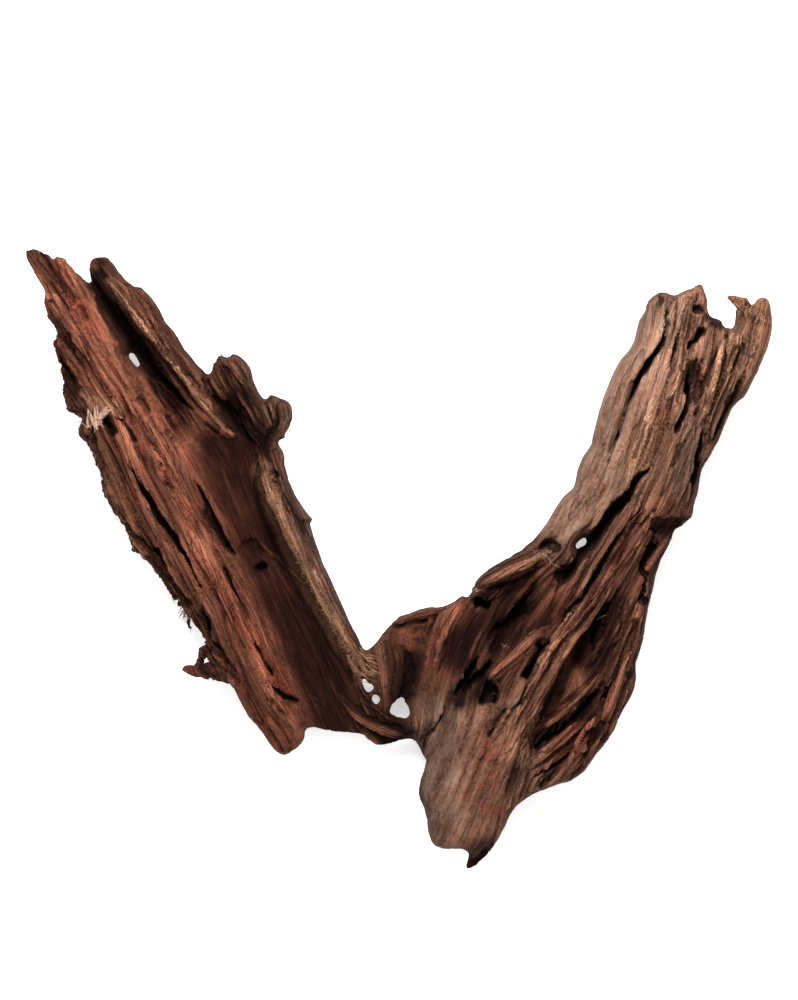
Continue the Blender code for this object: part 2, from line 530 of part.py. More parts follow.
def swell(piece):
    """Gives the flat slab its upper and lower surfaces, rounded over along the outline."""
    mesh = piece.data
    places = np.empty(len(mesh.vertices) * 3)
    mesh.vertices.foreach_get("co", places)
    places = places.reshape(-1, 3)
    px, py = pixels(places[:, 0], places[:, 1])
    upper = upper_surface(px, py) * MM
    lower = lower_surface(px, py) * MM
    upper = np.maximum(upper, lower + THIN)
    rim = 1.0 - np.clip(to_edge(px, py) / RIM, 0.0, 1.0)
    fullness = np.sqrt(1.0 - rim ** 2)
    middle = lower + RIM_LEVEL * (upper - lower)
    layer = np.clip(places[:, 2] / (THIN / 4), -1.0, 1.0)
    above = middle + (upper - middle) * fullness
    below = middle + (lower - middle) * fullness
    level = np.where(layer > 0, middle + (above - middle) * layer, middle + (below - middle) * -layer)
    places[:, 2] = level + layer * THIN / 8
    mesh.vertices.foreach_set("co", places.ravel())
    mesh.update()


def furrow_sides(piece):
    """Long ribs and furrows of the grain on the faces that stand upright."""
    mesh = piece.data
    places = np.empty(len(mesh.vertices) * 3)
    normals = np.empty(len(mesh.vertices) * 3)
    mesh.vertices.foreach_get("co", places)
    mesh.vertex_normals.foreach_get("vector", normals)
    places = places.reshape(-1, 3)
    normals = normals.reshape(-1, 3)
    along, across = along_grain(*pixels(places[:, 0], places[:, 1]))
    wound = across + places[:, 2] / PIXEL
    rise = SIDE_FURROW * lattice_noise(along / 95.0, wound / 13.0, 21)
    rise += 0.6 * SIDE_FURROW * lattice_noise(along / 40.0, wound / 6.0, 22)
    upright = eased(1.25 - np.abs(normals[:, 2]) * 1.5)
    places += normals * (rise * upright * MM)[:, None]
    mesh.vertices.foreach_set("co", places.ravel())
    mesh.update()


def join(pieces):
    bpy.ops.object.select_all(action="DESELECT")
    for piece in pieces:
        piece.select_set(True)
    bpy.context.view_layer.objects.active = pieces[0]
    bpy.ops.object.join()


def soften(piece, turns):
    apply_modifier(piece, "SMOOTH", factor=0.5, iterations=turns)


def thin_out(piece):
    """Fewer triangles, kept where the shape turns."""
    triangles = sum(len(face.vertices) - 2 for face in piece.data.polygons)
    apply_modifier(piece, "DECIMATE", ratio=FACES / triangles)


def press_feet(piece, cutters):
    """Planes the three feet off at the ground, so the wood rests on real flats."""
    bpy.ops.mesh.primitive_cube_add(size=1.0)
    ground = bpy.context.active_object
    ground.name = "ground_cutter"
    ground.scale = (2 * LENGTH, 2 * LENGTH, LENGTH)
    ground.location = (0.0, 0.0, -LENGTH / 2)
    ground.hide_render = True
    ground.display_type = "WIRE"
    for group in list(ground.users_collection):
        group.objects.unlink(ground)
    cutters.objects.link(ground)
    bpy.context.view_layer.update()
    apply_modifier(piece, "BOOLEAN", operation="DIFFERENCE", solver="EXACT", object=ground)


def wood_material():
    material = bpy.data.materials.new("weathered_wood")
    material.use_nodes = True
    shader = material.node_tree.nodes["Principled BSDF"]
    shader.inputs["Base Color"].default_value = WOOD_COLOUR
    shader.inputs["Roughness"].default_value = WOOD_ROUGHNESS
    shader.inputs["Metallic"].default_value = 0.0
    material.diffuse_color = WOOD_COLOUR
    return material


def driftwood():
    """The whole fork as one closed solid."""
    group = collection("driftwood_piece")
    cutters = collection("cutters", hidden=True)
    piece = flat_outline("driftwood", group)
    become_mesh(piece)
    remesh(piece, FINE)
    swell(piece)
    proud = strands("strands", group)
    become_mesh(proud)
    join([piece, proud])
    remesh(piece, FINE)
    furrow_sides(piece)
    soften(piece, 1)
    thin_out(piece)
    press_feet(piece, cutters)
    piece.data.materials.clear()
    piece.data.materials.append(wood_material())
    piece.data.shade_smooth()
    return piece


clear_scene()
driftwood()
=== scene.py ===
"""Piece of driftwood, as it lies: a hollow half-log limb and a ribbed root, grown together.

Read from the top: the lie of the wood, its heights, splits and strands, the grain, the two limbs'
mesh and finish, the loose fibres, and last the floor, the light and the camera.
"""
import math
import bmesh
import bpy
import numpy as np
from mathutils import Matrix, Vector


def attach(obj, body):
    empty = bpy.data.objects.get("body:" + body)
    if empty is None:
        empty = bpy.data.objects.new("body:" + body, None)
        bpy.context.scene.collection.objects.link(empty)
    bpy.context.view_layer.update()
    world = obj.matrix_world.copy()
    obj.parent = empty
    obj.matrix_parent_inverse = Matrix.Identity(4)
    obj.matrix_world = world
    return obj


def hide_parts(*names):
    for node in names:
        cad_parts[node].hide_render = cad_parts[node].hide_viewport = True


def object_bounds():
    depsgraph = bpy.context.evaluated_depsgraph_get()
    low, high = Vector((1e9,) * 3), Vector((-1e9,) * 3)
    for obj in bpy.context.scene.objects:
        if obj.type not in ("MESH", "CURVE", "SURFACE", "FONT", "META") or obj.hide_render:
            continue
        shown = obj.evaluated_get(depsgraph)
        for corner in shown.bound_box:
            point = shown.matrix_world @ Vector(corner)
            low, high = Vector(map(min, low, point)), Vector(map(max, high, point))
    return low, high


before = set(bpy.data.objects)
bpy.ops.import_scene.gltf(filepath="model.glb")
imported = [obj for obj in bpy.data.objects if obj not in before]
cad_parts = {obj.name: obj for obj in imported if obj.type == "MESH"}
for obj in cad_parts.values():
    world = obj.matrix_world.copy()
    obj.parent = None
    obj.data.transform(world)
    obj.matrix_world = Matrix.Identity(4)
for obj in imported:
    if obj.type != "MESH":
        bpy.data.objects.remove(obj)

cad_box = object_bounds()

# The lie of the wood
# One grown fork of weathered wood, laid on its back. Places are read in the photograph's pixels
# and plan() turns them into metres on the ground, where image up is +Y.
LENGTH = 0.446
SPAN_PIXELS = 743.0
MIDDLE_PIXELS = (399.5, 560.5)
PIXEL = LENGTH / SPAN_PIXELS
MM = 0.001

OUTLINE = [
    (28, 254), (34, 250), (40, 251), (47, 254), (53, 257), (57, 262), (58, 258), (68, 261), (74, 268),
    (82, 276), (89, 283), (96, 286), (92, 278), (91, 271), (93, 262), (97, 259), (104, 258), (111, 259),
    (117, 266), (122, 274), (128, 281), (137, 288), (143, 288), (149, 293), (156, 301), (162, 311),
    (168, 324), (176, 332), (181, 340), (185, 349), (192, 357), (200, 367), (205, 371), (208, 376),
    (211, 373), (214, 367), (213, 364), (218, 361), (219, 356), (224, 357), (228, 359), (232, 356),
    (236, 355), (241, 357), (247, 362), (252, 369), (254, 376), (255, 382), (259, 391), (263, 398),
    (266, 400), (269, 399), (271, 395), (275, 396), (282, 398), (289, 401), (293, 406), (294, 413),
    (294, 420), (291, 427), (287, 434), (286, 440), (281, 440), (279, 442), (280, 446), (284, 451),
    (286, 458), (286, 465), (288, 472), (290, 480), (294, 490), (299, 499), (304, 507), (309, 514),
    (313, 518), (313, 521), (311, 523), (313, 530), (316, 540), (320, 551), (324, 563), (330, 575),
    (336, 589), (341, 600), (346, 611), (352, 624), (359, 637), (363, 646), (366, 650), (370, 647),
    (375, 642), (379, 637), (385, 630), (392, 622), (400, 616), (410, 612), (420, 608), (430, 606),
    (441, 606), (449, 603), (455, 600), (458, 597), (463, 594), (465, 596), (466, 600), (470, 592),
    (473, 588), (474, 583), (476, 579), (480, 575), (487, 569), (495, 564), (505, 558), (513, 553),
    (521, 549), (524, 545), (531, 540), (537, 533), (546, 521), (553, 509), (561, 497), (568, 491),
    (572, 487), (574, 479), (576, 470), (581, 457), (587, 449), (590, 444), (591, 437), (594, 425),
    (598, 410), (602, 398), (607, 385), (613, 371), (620, 359), (628, 350), (633, 341), (635, 332),
    (638, 320), (643, 311), (645, 304), (650, 298), (655, 295), (662, 294), (668, 295), (672, 297),
    (677, 295), (683, 291), (689, 289), (694, 286), (698, 284), (701, 286), (703, 293), (705, 302),
    (705, 312), (707, 319), (711, 319), (716, 321), (719, 322), (720, 327), (726, 329), (730, 330),
    (732, 327), (733, 320), (733, 311), (728, 305), (722, 300), (725, 298), (730, 298), (737, 299),
    (743, 299), (746, 303), (749, 308), (752, 304), (754, 300), (758, 298), (764, 299), (768, 303),
    (769, 312), (771, 320), (771, 328), (769, 337), (766, 349), (761, 362), (754, 376), (747, 390),
    (742, 398), (737, 401), (730, 409), (724, 424), (718, 440), (712, 452), (705, 463), (701, 470),
    (699, 480), (697, 493), (693, 508), (691, 518), (687, 522), (681, 528), (675, 530), (673, 538),
    (668, 548), (661, 560), (656, 575), (653, 590), (649, 607), (646, 622), (644, 638), (640, 651),
    (637, 661), (636, 669), (637, 679), (635, 689), (630, 700), (625, 709), (620, 720), (616, 730),
    (610, 740), (604, 747), (597, 754), (592, 762), (585, 772), (577, 778), (569, 783), (558, 785),
    (545, 790), (535, 794), (525, 800), (517, 806), (511, 814), (506, 825), (500, 837), (494, 847),
    (487, 856), (483, 860), (476, 867), (469, 870), (465, 871), (468, 862), (469, 854), (466, 851),
    (461, 849), (450, 850), (441, 849), (434, 846), (431, 842), (428, 832), (427, 822), (424, 808),
    (420, 800), (418, 791), (420, 782), (424, 770), (426, 761), (423, 758), (420, 752), (417, 745),
    (412, 740), (405, 740), (397, 743), (388, 746), (382, 747), (375, 745), (368, 740), (361, 736),
    (350, 735), (335, 734), (325, 732), (315, 729), (308, 729), (305, 732), (305, 738), (303, 743),
    (298, 748), (292, 752), (286, 756), (281, 756), (275, 752), (269, 744), (262, 733), (255, 725),
    (248, 717), (243, 708), (238, 699), (234, 690), (229, 685), (220, 682), (208, 680), (195, 678),
    (186, 675), (181, 671), (181, 667), (186, 665), (191, 665), (197, 664), (198, 655), (200, 648),
    (205, 646), (204, 638), (203, 628), (201, 621), (197, 617), (193, 615), (190, 618), (190, 623),
    (193, 628), (189, 631), (187, 628), (187, 620), (186, 615), (182, 610), (178, 606), (177, 602),
    (173, 601), (169, 600), (168, 592), (166, 586), (160, 580), (157, 574), (155, 567), (150, 562),
    (145, 559), (141, 554), (136, 554), (131, 552), (130, 543), (128, 534), (126, 527), (120, 520),
    (114, 511), (108, 502), (103, 490), (103, 480), (101, 470), (97, 462), (93, 452), (89, 443), (82, 437),
    (79, 431), (81, 425), (84, 420), (82, 416), (76, 414), (70, 411), (66, 407), (64, 399), (63, 390),
    (63, 383), (62, 376), (62, 368), (59, 360), (56, 351), (54, 345), (56, 339), (58, 333), (54, 326),
    (49, 319), (47, 311), (46, 301), (46, 292), (42, 282), (38, 275), (33, 266), (29, 258),
]
DAYLIGHT_HOLES = {
    "prong_slot": [
        (130, 353), (134, 354), (138, 359), (141, 365), (140, 369), (137, 367), (132, 361), (129, 356),
    ],
    "twig_eye": [(206, 657), (209, 661), (206, 664), (203, 661)],
    "curl_upper": [
        (363, 679), (368, 679), (370, 684), (373, 687), (372, 690), (369, 693), (365, 688), (362, 682),
    ],
    "curl_middle": [(373, 697), (376, 695), (379, 698), (379, 702), (376, 704), (372, 700)],
    "curl_lower": [
        (403, 697), (406, 703), (409, 709), (410, 715), (406, 719), (398, 717), (390, 713), (392, 706),
        (397, 701),
    ],
    "root_window": [(583, 537), (586, 539), (586, 543), (582, 546), (576, 549), (574, 547), (578, 541)],
    "root_chink": [(561, 570), (564, 572), (561, 574), (557, 574)],
}


def plan(px, py):
    return (px - MIDDLE_PIXELS[0]) * PIXEL, (MIDDLE_PIXELS[1] - py) * PIXEL


def pixels(x, y):
    return x / PIXEL + MIDDLE_PIXELS[0], MIDDLE_PIXELS[1] - y / PIXEL


def eased(share):
    share = np.clip(share, 0.0, 1.0)
    return share * share * (3.0 - 2.0 * share)


FAR_PIXELS = 1e9


def run_of(px, py, points):
    """Distance to a run of points, the side of it, and the share of its length."""
    line = np.array(points, np.float32)
    lengths = np.hypot(*np.diff(line, axis=0).T)
    nearest = np.full(px.shape, FAR_PIXELS, np.float32)
    side = np.zeros(px.shape, np.float32)
    share = np.zeros(px.shape, np.float32)
    begun = 0.0
    for (ax, ay), (bx, by), length in zip(line[:-1], line[1:], lengths):
        ux = (bx - ax) / length
        uy = (by - ay) / length
        along = np.clip((px - ax) * ux + (py - ay) * uy, 0.0, length)
        dx = px - ax - along * ux
        dy = py - ay - along * uy
        distance = np.hypot(dx, dy)
        closer = distance < nearest
        nearest = np.where(closer, distance, nearest)
        side = np.where(closer, ux * dy - uy * dx, side)
        share = np.where(closer, (begun + along) / lengths.sum(), share)
        begun += length
    return nearest, side, share


def near_run(px, py, points, reach):
    """Which places lie in the box round a run, so the rest cost nothing."""
    line = np.array(points, np.float32)
    low = line.min(axis=0) - reach
    high = line.max(axis=0) + reach
    return np.flatnonzero((px > low[0]) & (px < high[0]) & (py > low[1]) & (py < high[1]))


# Heights of the wood
# Gauge points: place, then height of the upper face and of the underside in
# millimetres. A smooth surface runs through them. The left limb is a trough, the root a dome.
GAUGES = [
    (36, 258, 50, 38), (60, 300, 52, 25), (50, 310, 40, 28), (85, 330, 60, 14), (60, 360, 40, 22),
    (100, 350, 60, 10), (70, 275, 52, 34), (100, 262, 58, 40), (125, 290, 64, 30), (150, 330, 66, 20),
    (175, 345, 56, 25), (190, 372, 60, 15), (215, 415, 56, 10), (232, 438, 48, 8), (150, 300, 56, 30),
    (75, 400, 36, 18), (68, 385, 36, 20), (95, 420, 52, 14), (110, 470, 54, 10), (135, 520, 50, 10),
    (165, 560, 44, 14), (185, 600, 38, 18), (203, 640, 36, 20), (188, 625, 30, 23), (185, 670, 30, 21),
    (215, 672, 36, 16), (125, 395, 61, 6), (150, 450, 60, 4), (180, 500, 60, 3), (210, 560, 58, 4),
    (232, 620, 54, 5), (245, 670, 50, 6), (262, 715, 46, 8), (283, 748, 40, 14), (298, 735, 36, 12),
    (180, 410, 42, 4), (205, 440, 36, 3), (235, 490, 28, 2), (262, 550, 22, 3), (290, 610, 19, 3),
    (315, 660, 17, 3), (335, 705, 15, 4), (310, 712, 22, 5), (350, 725, 16, 6), (262, 440, 50, 8),
    (272, 490, 50, 8), (292, 520, 52, 10), (312, 560, 54, 12), (330, 600, 52, 14), (345, 630, 48, 16),
    (360, 655, 42, 18), (352, 690, 26, 8), (370, 700, 32, 10), (215, 375, 52, 22), (235, 362, 62, 30),
    (250, 390, 62, 22), (268, 420, 58, 20), (283, 405, 56, 30), (288, 425, 52, 30), (240, 410, 48, 12),
    (275, 455, 54, 18), (380, 730, 30, 12), (400, 732, 32, 14), (420, 735, 36, 14), (425, 752, 28, 16),
    (375, 655, 34, 20), (390, 640, 40, 20), (410, 618, 46, 22), (435, 612, 48, 22), (400, 670, 36, 16),
    (385, 690, 32, 18), (415, 690, 40, 14), (430, 715, 42, 12), (440, 670, 46, 12), (460, 640, 50, 12),
    (480, 615, 46, 14), (475, 590, 50, 26), (500, 570, 56, 24), (525, 555, 60, 22), (545, 535, 62, 22),
    (565, 505, 62, 20), (590, 460, 64, 18), (605, 420, 62, 18), (620, 370, 60, 20), (645, 320, 58, 24),
    (655, 300, 55, 30), (620, 470, 74, 8), (645, 400, 76, 6), (665, 350, 74, 10), (690, 300, 66, 30),
    (700, 290, 60, 36), (680, 430, 74, 4), (700, 370, 70, 6), (720, 340, 66, 14), (745, 320, 62, 22),
    (765, 315, 56, 28), (755, 350, 58, 20), (735, 390, 56, 14), (715, 430, 56, 12), (700, 460, 58, 10),
    (690, 500, 58, 12), (725, 302, 60, 48), (600, 540, 72, 6), (575, 590, 72, 4), (560, 620, 70, 4),
    (530, 600, 50, 6), (520, 620, 48, 6), (545, 660, 70, 4), (520, 700, 68, 4), (495, 740, 64, 3),
    (480, 780, 58, 0), (455, 780, 54, 0), (440, 790, 50, 4), (450, 830, 46, 2), (470, 830, 50, 2),
    (475, 860, 34, 16), (495, 830, 46, 6), (650, 540, 50, 14), (650, 570, 50, 12), (630, 600, 54, 8),
    (640, 640, 50, 12), (620, 650, 58, 8), (635, 680, 44, 14), (615, 700, 54, 10), (600, 730, 54, 8),
    (585, 700, 50, 6), (570, 740, 46, 6), (560, 760, 46, 8), (540, 780, 42, 12), (590, 750, 48, 12),
    (612, 732, 40, 14), (520, 795, 40, 10), (600, 680, 54, 6), (575, 660, 42, 6), (565, 690, 42, 6),
]
GAUGE_SOFTNESS = 26.0


def gauge_surface(px, py, column):
    known = np.array(GAUGES, float)
    places = known[:, :2]
    apart = np.hypot(places[:, None, 0] - places[None, :, 0], places[:, None, 1] - places[None, :, 1])
    count = len(known)
    system = np.zeros((count + 1, count + 1))
    system[:count, :count] = np.sqrt(apart ** 2 + GAUGE_SOFTNESS ** 2)
    system[:count, count] = 1.0
    system[count, :count] = 1.0
    weights = np.linalg.solve(system, np.append(known[:, column], 0.0)).astype(np.float32)
    surface = np.full(px.shape, weights[-1], np.float32)
    for (gx, gy), weight in zip(places, weights[:-1]):
        surface += weight * np.sqrt((px - gx) ** 2 + (py - gy) ** 2 + GAUGE_SOFTNESS ** 2)
    return surface


# Splits and hollows
# Weather has opened the wood along its fibres. Each split has its depth in millimetres, its
# reach in pixels to the left and to the right of its run, and the run itself.
SPLITS = [
    (26, 9, 12, [
        (96, 286), (107, 302), (117, 317), (127, 332), (137, 346), (149, 361), (162, 377), (176, 393),
        (190, 408),
    ]),
    (8, 3.5, 3, [(50, 298), (56, 318), (64, 336), (76, 354), (88, 372), (99, 390), (110, 404)]),
    (9, 5, 4, [(62, 352), (68, 366), (76, 380), (84, 392)]),
    (6, 3, 3, [(39, 256), (43, 260), (48, 264)]),
    (5, 2.5, 2.5, [(60, 261), (66, 270), (72, 279), (78, 290), (84, 300)]),
    (7, 4, 4, [(82, 309), (86, 315), (91, 323)]),
    (2.5, 3, 3, [(72, 298), (78, 308), (84, 320)]),
    (2.5, 2.5, 2.5, [(84, 337), (90, 347), (98, 360)]),
    (9, 4, 4, [(118, 414), (126, 424), (134, 434), (141, 446)]),
    (7, 4, 4, [(141, 398), (146, 406), (152, 416)]),
    (3, 2, 2, [(158, 415), (168, 435), (178, 452), (188, 470)]),
    (18, 2.5, 4, [(188, 470), (198, 488), (208, 505), (218, 524), (228, 542), (236, 554)]),
    (6, 2.5, 2.5, [(160, 462), (168, 478), (179, 497)]),
    (4, 2, 2, [(152, 440), (162, 456), (176, 480)]),
    (22, 3.5, 5, [
        (126, 452), (136, 472), (145, 489), (158, 510), (171, 529), (183, 549), (193, 565), (201, 582),
        (207, 600),
    ]),
    (15, 5, 5, [(107, 418), (112, 426), (119, 438)]),
    (4, 3, 3, [(94, 425), (100, 450), (108, 470), (114, 485)]),
    (12, 3, 3, [(213, 545), (225, 565), (233, 585), (244, 605), (252, 622), (262, 634)]),
    (5, 2, 2, [(226, 556), (238, 576), (250, 594)]),
    (13, 3, 3.5, [(254, 641), (260, 650), (264, 660), (269, 668), (276, 678)]),
    (13, 3.5, 3, [(266, 679), (276, 690), (286, 697), (296, 701), (306, 704)]),
    (5, 2, 2, [(270, 696), (280, 710), (291, 719)]),
    (16, 5, 4, [(204, 604), (210, 620), (214, 640), (222, 653), (233, 667)]),
    (14, 4, 4, [(255, 569), (261, 567), (267, 565)]),
    (3.5, 8, 8, [(246, 540), (250, 548), (257, 558)]),
    (20, 18, 3, [
        (259, 455), (262, 480), (266, 502), (277, 522), (286, 545), (297, 563), (309, 582), (320, 600),
        (330, 620), (338, 641), (347, 657), (354, 673), (360, 686),
    ]),
    (9, 6, 5, [(280, 548), (292, 562), (307, 582)]),
    (2.5, 2, 2, [(300, 570), (312, 605), (325, 640), (340, 670)]),
    (2.5, 3, 3, [(265, 590), (275, 620), (288, 650), (300, 685)]),
    (16, 9, 12, [(204, 375), (213, 392), (226, 410), (240, 428), (255, 447)]),
    (6, 3, 3, [(230, 358), (239, 378), (248, 398), (258, 418)]),
    (7, 4, 4, [(265, 400), (271, 418), (279, 436)]),
    (8, 5, 4, [(276, 470), (277, 480), (279, 490)]),
    (5, 5, 5, [(131, 300), (142, 315), (152, 328), (163, 343), (175, 358)]),
    (8, 3, 3, [(186, 374), (194, 384), (203, 397), (212, 412)]),
    (9, 3, 3, [(205, 423), (213, 429), (221, 435)]),
    (22, 4.5, 4.5, [
        (666, 310), (663, 330), (658, 345), (650, 357), (641, 371), (633, 384), (625, 397), (620, 411),
        (615, 428), (610, 446), (605, 464),
    ]),
    (12, 3.5, 3.5, [(673, 333), (669, 349), (665, 361), (662, 380)]),
    (14, 4.5, 4.5, [(699, 330), (690, 343), (682, 354)]),
    (32, 6, 6, [(684, 363), (683, 384), (681, 399), (678, 411), (674, 423), (669, 434)]),
    (4, 4, 4, [(684, 364), (692, 362), (699, 366)]),
    (16, 9, 8, [(689, 357), (691, 372), (694, 388), (694, 402), (688, 418)]),
    (9, 3, 3, [(713, 340), (710, 358), (707, 374), (703, 390), (700, 404)]),
    (7, 2.5, 2.5, [(725, 332), (722, 350), (719, 370)]),
    (9, 4, 4, [(743, 332), (738, 350), (733, 362), (725, 378)]),
    (15, 4, 5, [(742, 372), (735, 384), (729, 396), (723, 408), (714, 426), (705, 448)]),
    (4, 3, 3, [(753, 346), (748, 362), (744, 374)]),
    (12, 5, 5, [(691, 307), (693, 312), (693, 318)]),
    (8, 4, 4, [(696, 287), (697, 291)]),
    (4, 6, 6, [(650, 398), (640, 420), (630, 440), (622, 460), (612, 480), (602, 500)]),
    (5, 4, 4, [(692, 422), (682, 440), (676, 452), (668, 470)]),
    (11, 4, 4, [(697, 422), (697, 445), (692, 460), (690, 475), (688, 490), (683, 508)]),
    (28, 7, 5, [
        (654, 456), (643, 472), (632, 482), (625, 495), (615, 508), (603, 522), (590, 540), (578, 556),
        (566, 574), (552, 592),
    ]),
    (15, 4, 4, [
        (638, 502), (628, 519), (617, 534), (606, 548), (599, 562), (589, 579), (578, 596), (566, 609),
        (554, 622),
    ]),
    (18, 22, 3, [(638, 519), (655, 518), (672, 518), (690, 517)]),
    (14, 6, 5, [(656, 528), (648, 548), (643, 565), (639, 588)]),
    (26, 5, 5, [(612, 594), (602, 608), (595, 620), (592, 632), (592, 648)]),
    (12, 3, 15, [(600, 600), (582, 626), (568, 650), (555, 676), (545, 698), (537, 720), (531, 745)]),
    (22, 7, 6, [(600, 682), (588, 698), (573, 715), (557, 728), (540, 740), (529, 748)]),
    (10, 3, 3, [(576, 747), (561, 759), (546, 768), (530, 776)]),
    (13, 3.5, 3.5, [(603, 700), (594, 718), (584, 736), (576, 750), (570, 764)]),
    (13, 3.5, 3.5, [(607, 708), (598, 726), (588, 742), (581, 756)]),
    (8, 6, 5, [(638, 650), (631, 666), (622, 678)]),
    (8, 3, 12, [(628, 686), (617, 712), (608, 735), (597, 757)]),
    (24, 8, 8, [(473, 600), (484, 603), (494, 607)]),
    (28, 4, 6, [(478, 656), (468, 668), (461, 680), (454, 694)]),
    (16, 4, 4, [(489, 677), (487, 690), (479, 702)]),
    (24, 6.5, 6.5, [(545, 641), (535, 653), (526, 665), (519, 676)]),
    (16, 9, 9, [(534, 586), (516, 610), (502, 628), (488, 648)]),
    (11, 2.5, 2.5, [(453, 696), (442, 712), (435, 725), (426, 742)]),
    (6, 8, 2, [(472, 592), (490, 585), (510, 578), (530, 570), (548, 562)]),
    (6, 6, 6, [(398, 645), (408, 654), (413, 666), (411, 680), (402, 697)]),
    (3, 2, 2, [(376, 691), (388, 687), (400, 688)]),
    (6, 7, 2, [(394, 626), (412, 620), (432, 617)]),
    (12, 7, 6, [(488, 846), (477, 860), (468, 870)]),
    (4, 2, 2, [(499, 812), (493, 834), (487, 850)]),
    (6, 9, 6, [(520, 752), (513, 774), (506, 797)]),
    (10, 6, 6, [(538, 545), (548, 546), (558, 548)]),
    (7, 3, 3, [(506, 702), (496, 718), (487, 736)]),
    (4, 2, 2, [(446, 655), (438, 668), (430, 682)]),
    (3, 3, 3, [(512, 696), (497, 728), (480, 762), (464, 798)]),
    (24, 5, 5, [(610, 679), (606, 690), (602, 701)]),
    (4, 2.5, 2.5, [(586, 614), (568, 640), (553, 665), (540, 692)]),
    (6, 2.5, 2.5, [(607, 596), (604, 615), (600, 636)]),
    (5, 2.5, 2.5, [(618, 590), (618, 620), (612, 650)]),
    (6, 3, 3, [(150, 375), (157, 388), (164, 402), (172, 418)]),
    (5, 2.5, 2.5, [(160, 416), (168, 430), (178, 446)]),
    (4, 2.5, 2.5, [(60, 318), (74, 338), (86, 356), (96, 372)]),
    (4, 2.5, 2.5, [(104, 355), (112, 368), (122, 384), (130, 398)]),
    (5, 3, 3, [(146, 300), (160, 320), (172, 338), (184, 354)]),
    (6, 3, 3, [(676, 443), (672, 456), (667, 470)]),
    (7, 3, 3, [(742, 356), (740, 366), (736, 376)]),
    (6, 3, 3, [(733, 345), (729, 360), (725, 374)]),
    (6, 3, 3, [(548, 700), (534, 716), (528, 732)]),
    (8, 4, 4, [(636, 596), (640, 600), (646, 600)]),
    (7, 3, 3, [(560, 766), (548, 776), (538, 786)]),
    (7, 3, 3, [(584, 762), (576, 772), (568, 781)]),
    (20, 4, 7, [(202, 502), (214, 524), (226, 543), (237, 559), (241, 566)]),
    (20, 4, 4, [(490, 660), (479, 671), (469, 682), (461, 692)]),
    (13, 3.5, 3.5, [(491, 681), (495, 691), (492, 702)]),
    (16, 4, 4, [(533, 643), (541, 642), (549, 640)]),
    (7, 2, 2, [(464, 699), (459, 705), (453, 711)]),
    (5, 3, 3, [(530, 678), (520, 692), (511, 706), (503, 722), (498, 736)]),
    (15, 5, 5, [(489, 684), (488, 692), (486, 700)]),
    (10, 4, 4, [(155, 546), (163, 557), (171, 569)]),
    (9, 4, 4, [(176, 588), (186, 597), (195, 605)]),
]
RUN_FADE = 0.34
SHORT_RUN = 45.0
SHORT_RUN_FADE = 0.4 * RUN_FADE
END_WIDTH = 0.15
END_STRENGTH = 0.2


def stroke(px, py, left, right, points, steep=1.0, shift=0.0):
    """How strongly one ridge or split works at each place, 0 to 1, pointed at both ends."""
    strength = np.zeros(px.shape, np.float32)
    length = sum(math.dist(a, b) for a, b in zip(points, points[1:]))
    run_fade = RUN_FADE if length > SHORT_RUN else SHORT_RUN_FADE
    near = near_run(px, py, points, max(left, right))
    distance, side, share = run_of(px[near], py[near], points)
    taper = np.clip(np.minimum(share, 1.0 - share) / run_fade, 0.0, 1.0)
    width = np.where(side > 0, left, right) * (END_WIDTH + (1 - END_WIDTH) * taper ** 0.7)
    if np.ndim(shift):
        distance = distance + shift[near]
    faded = END_STRENGTH + (1 - END_STRENGTH) * taper ** 0.6
    strength[near] = np.clip((1.0 - distance / width) * steep, 0.0, 1.0) * faded
    return strength


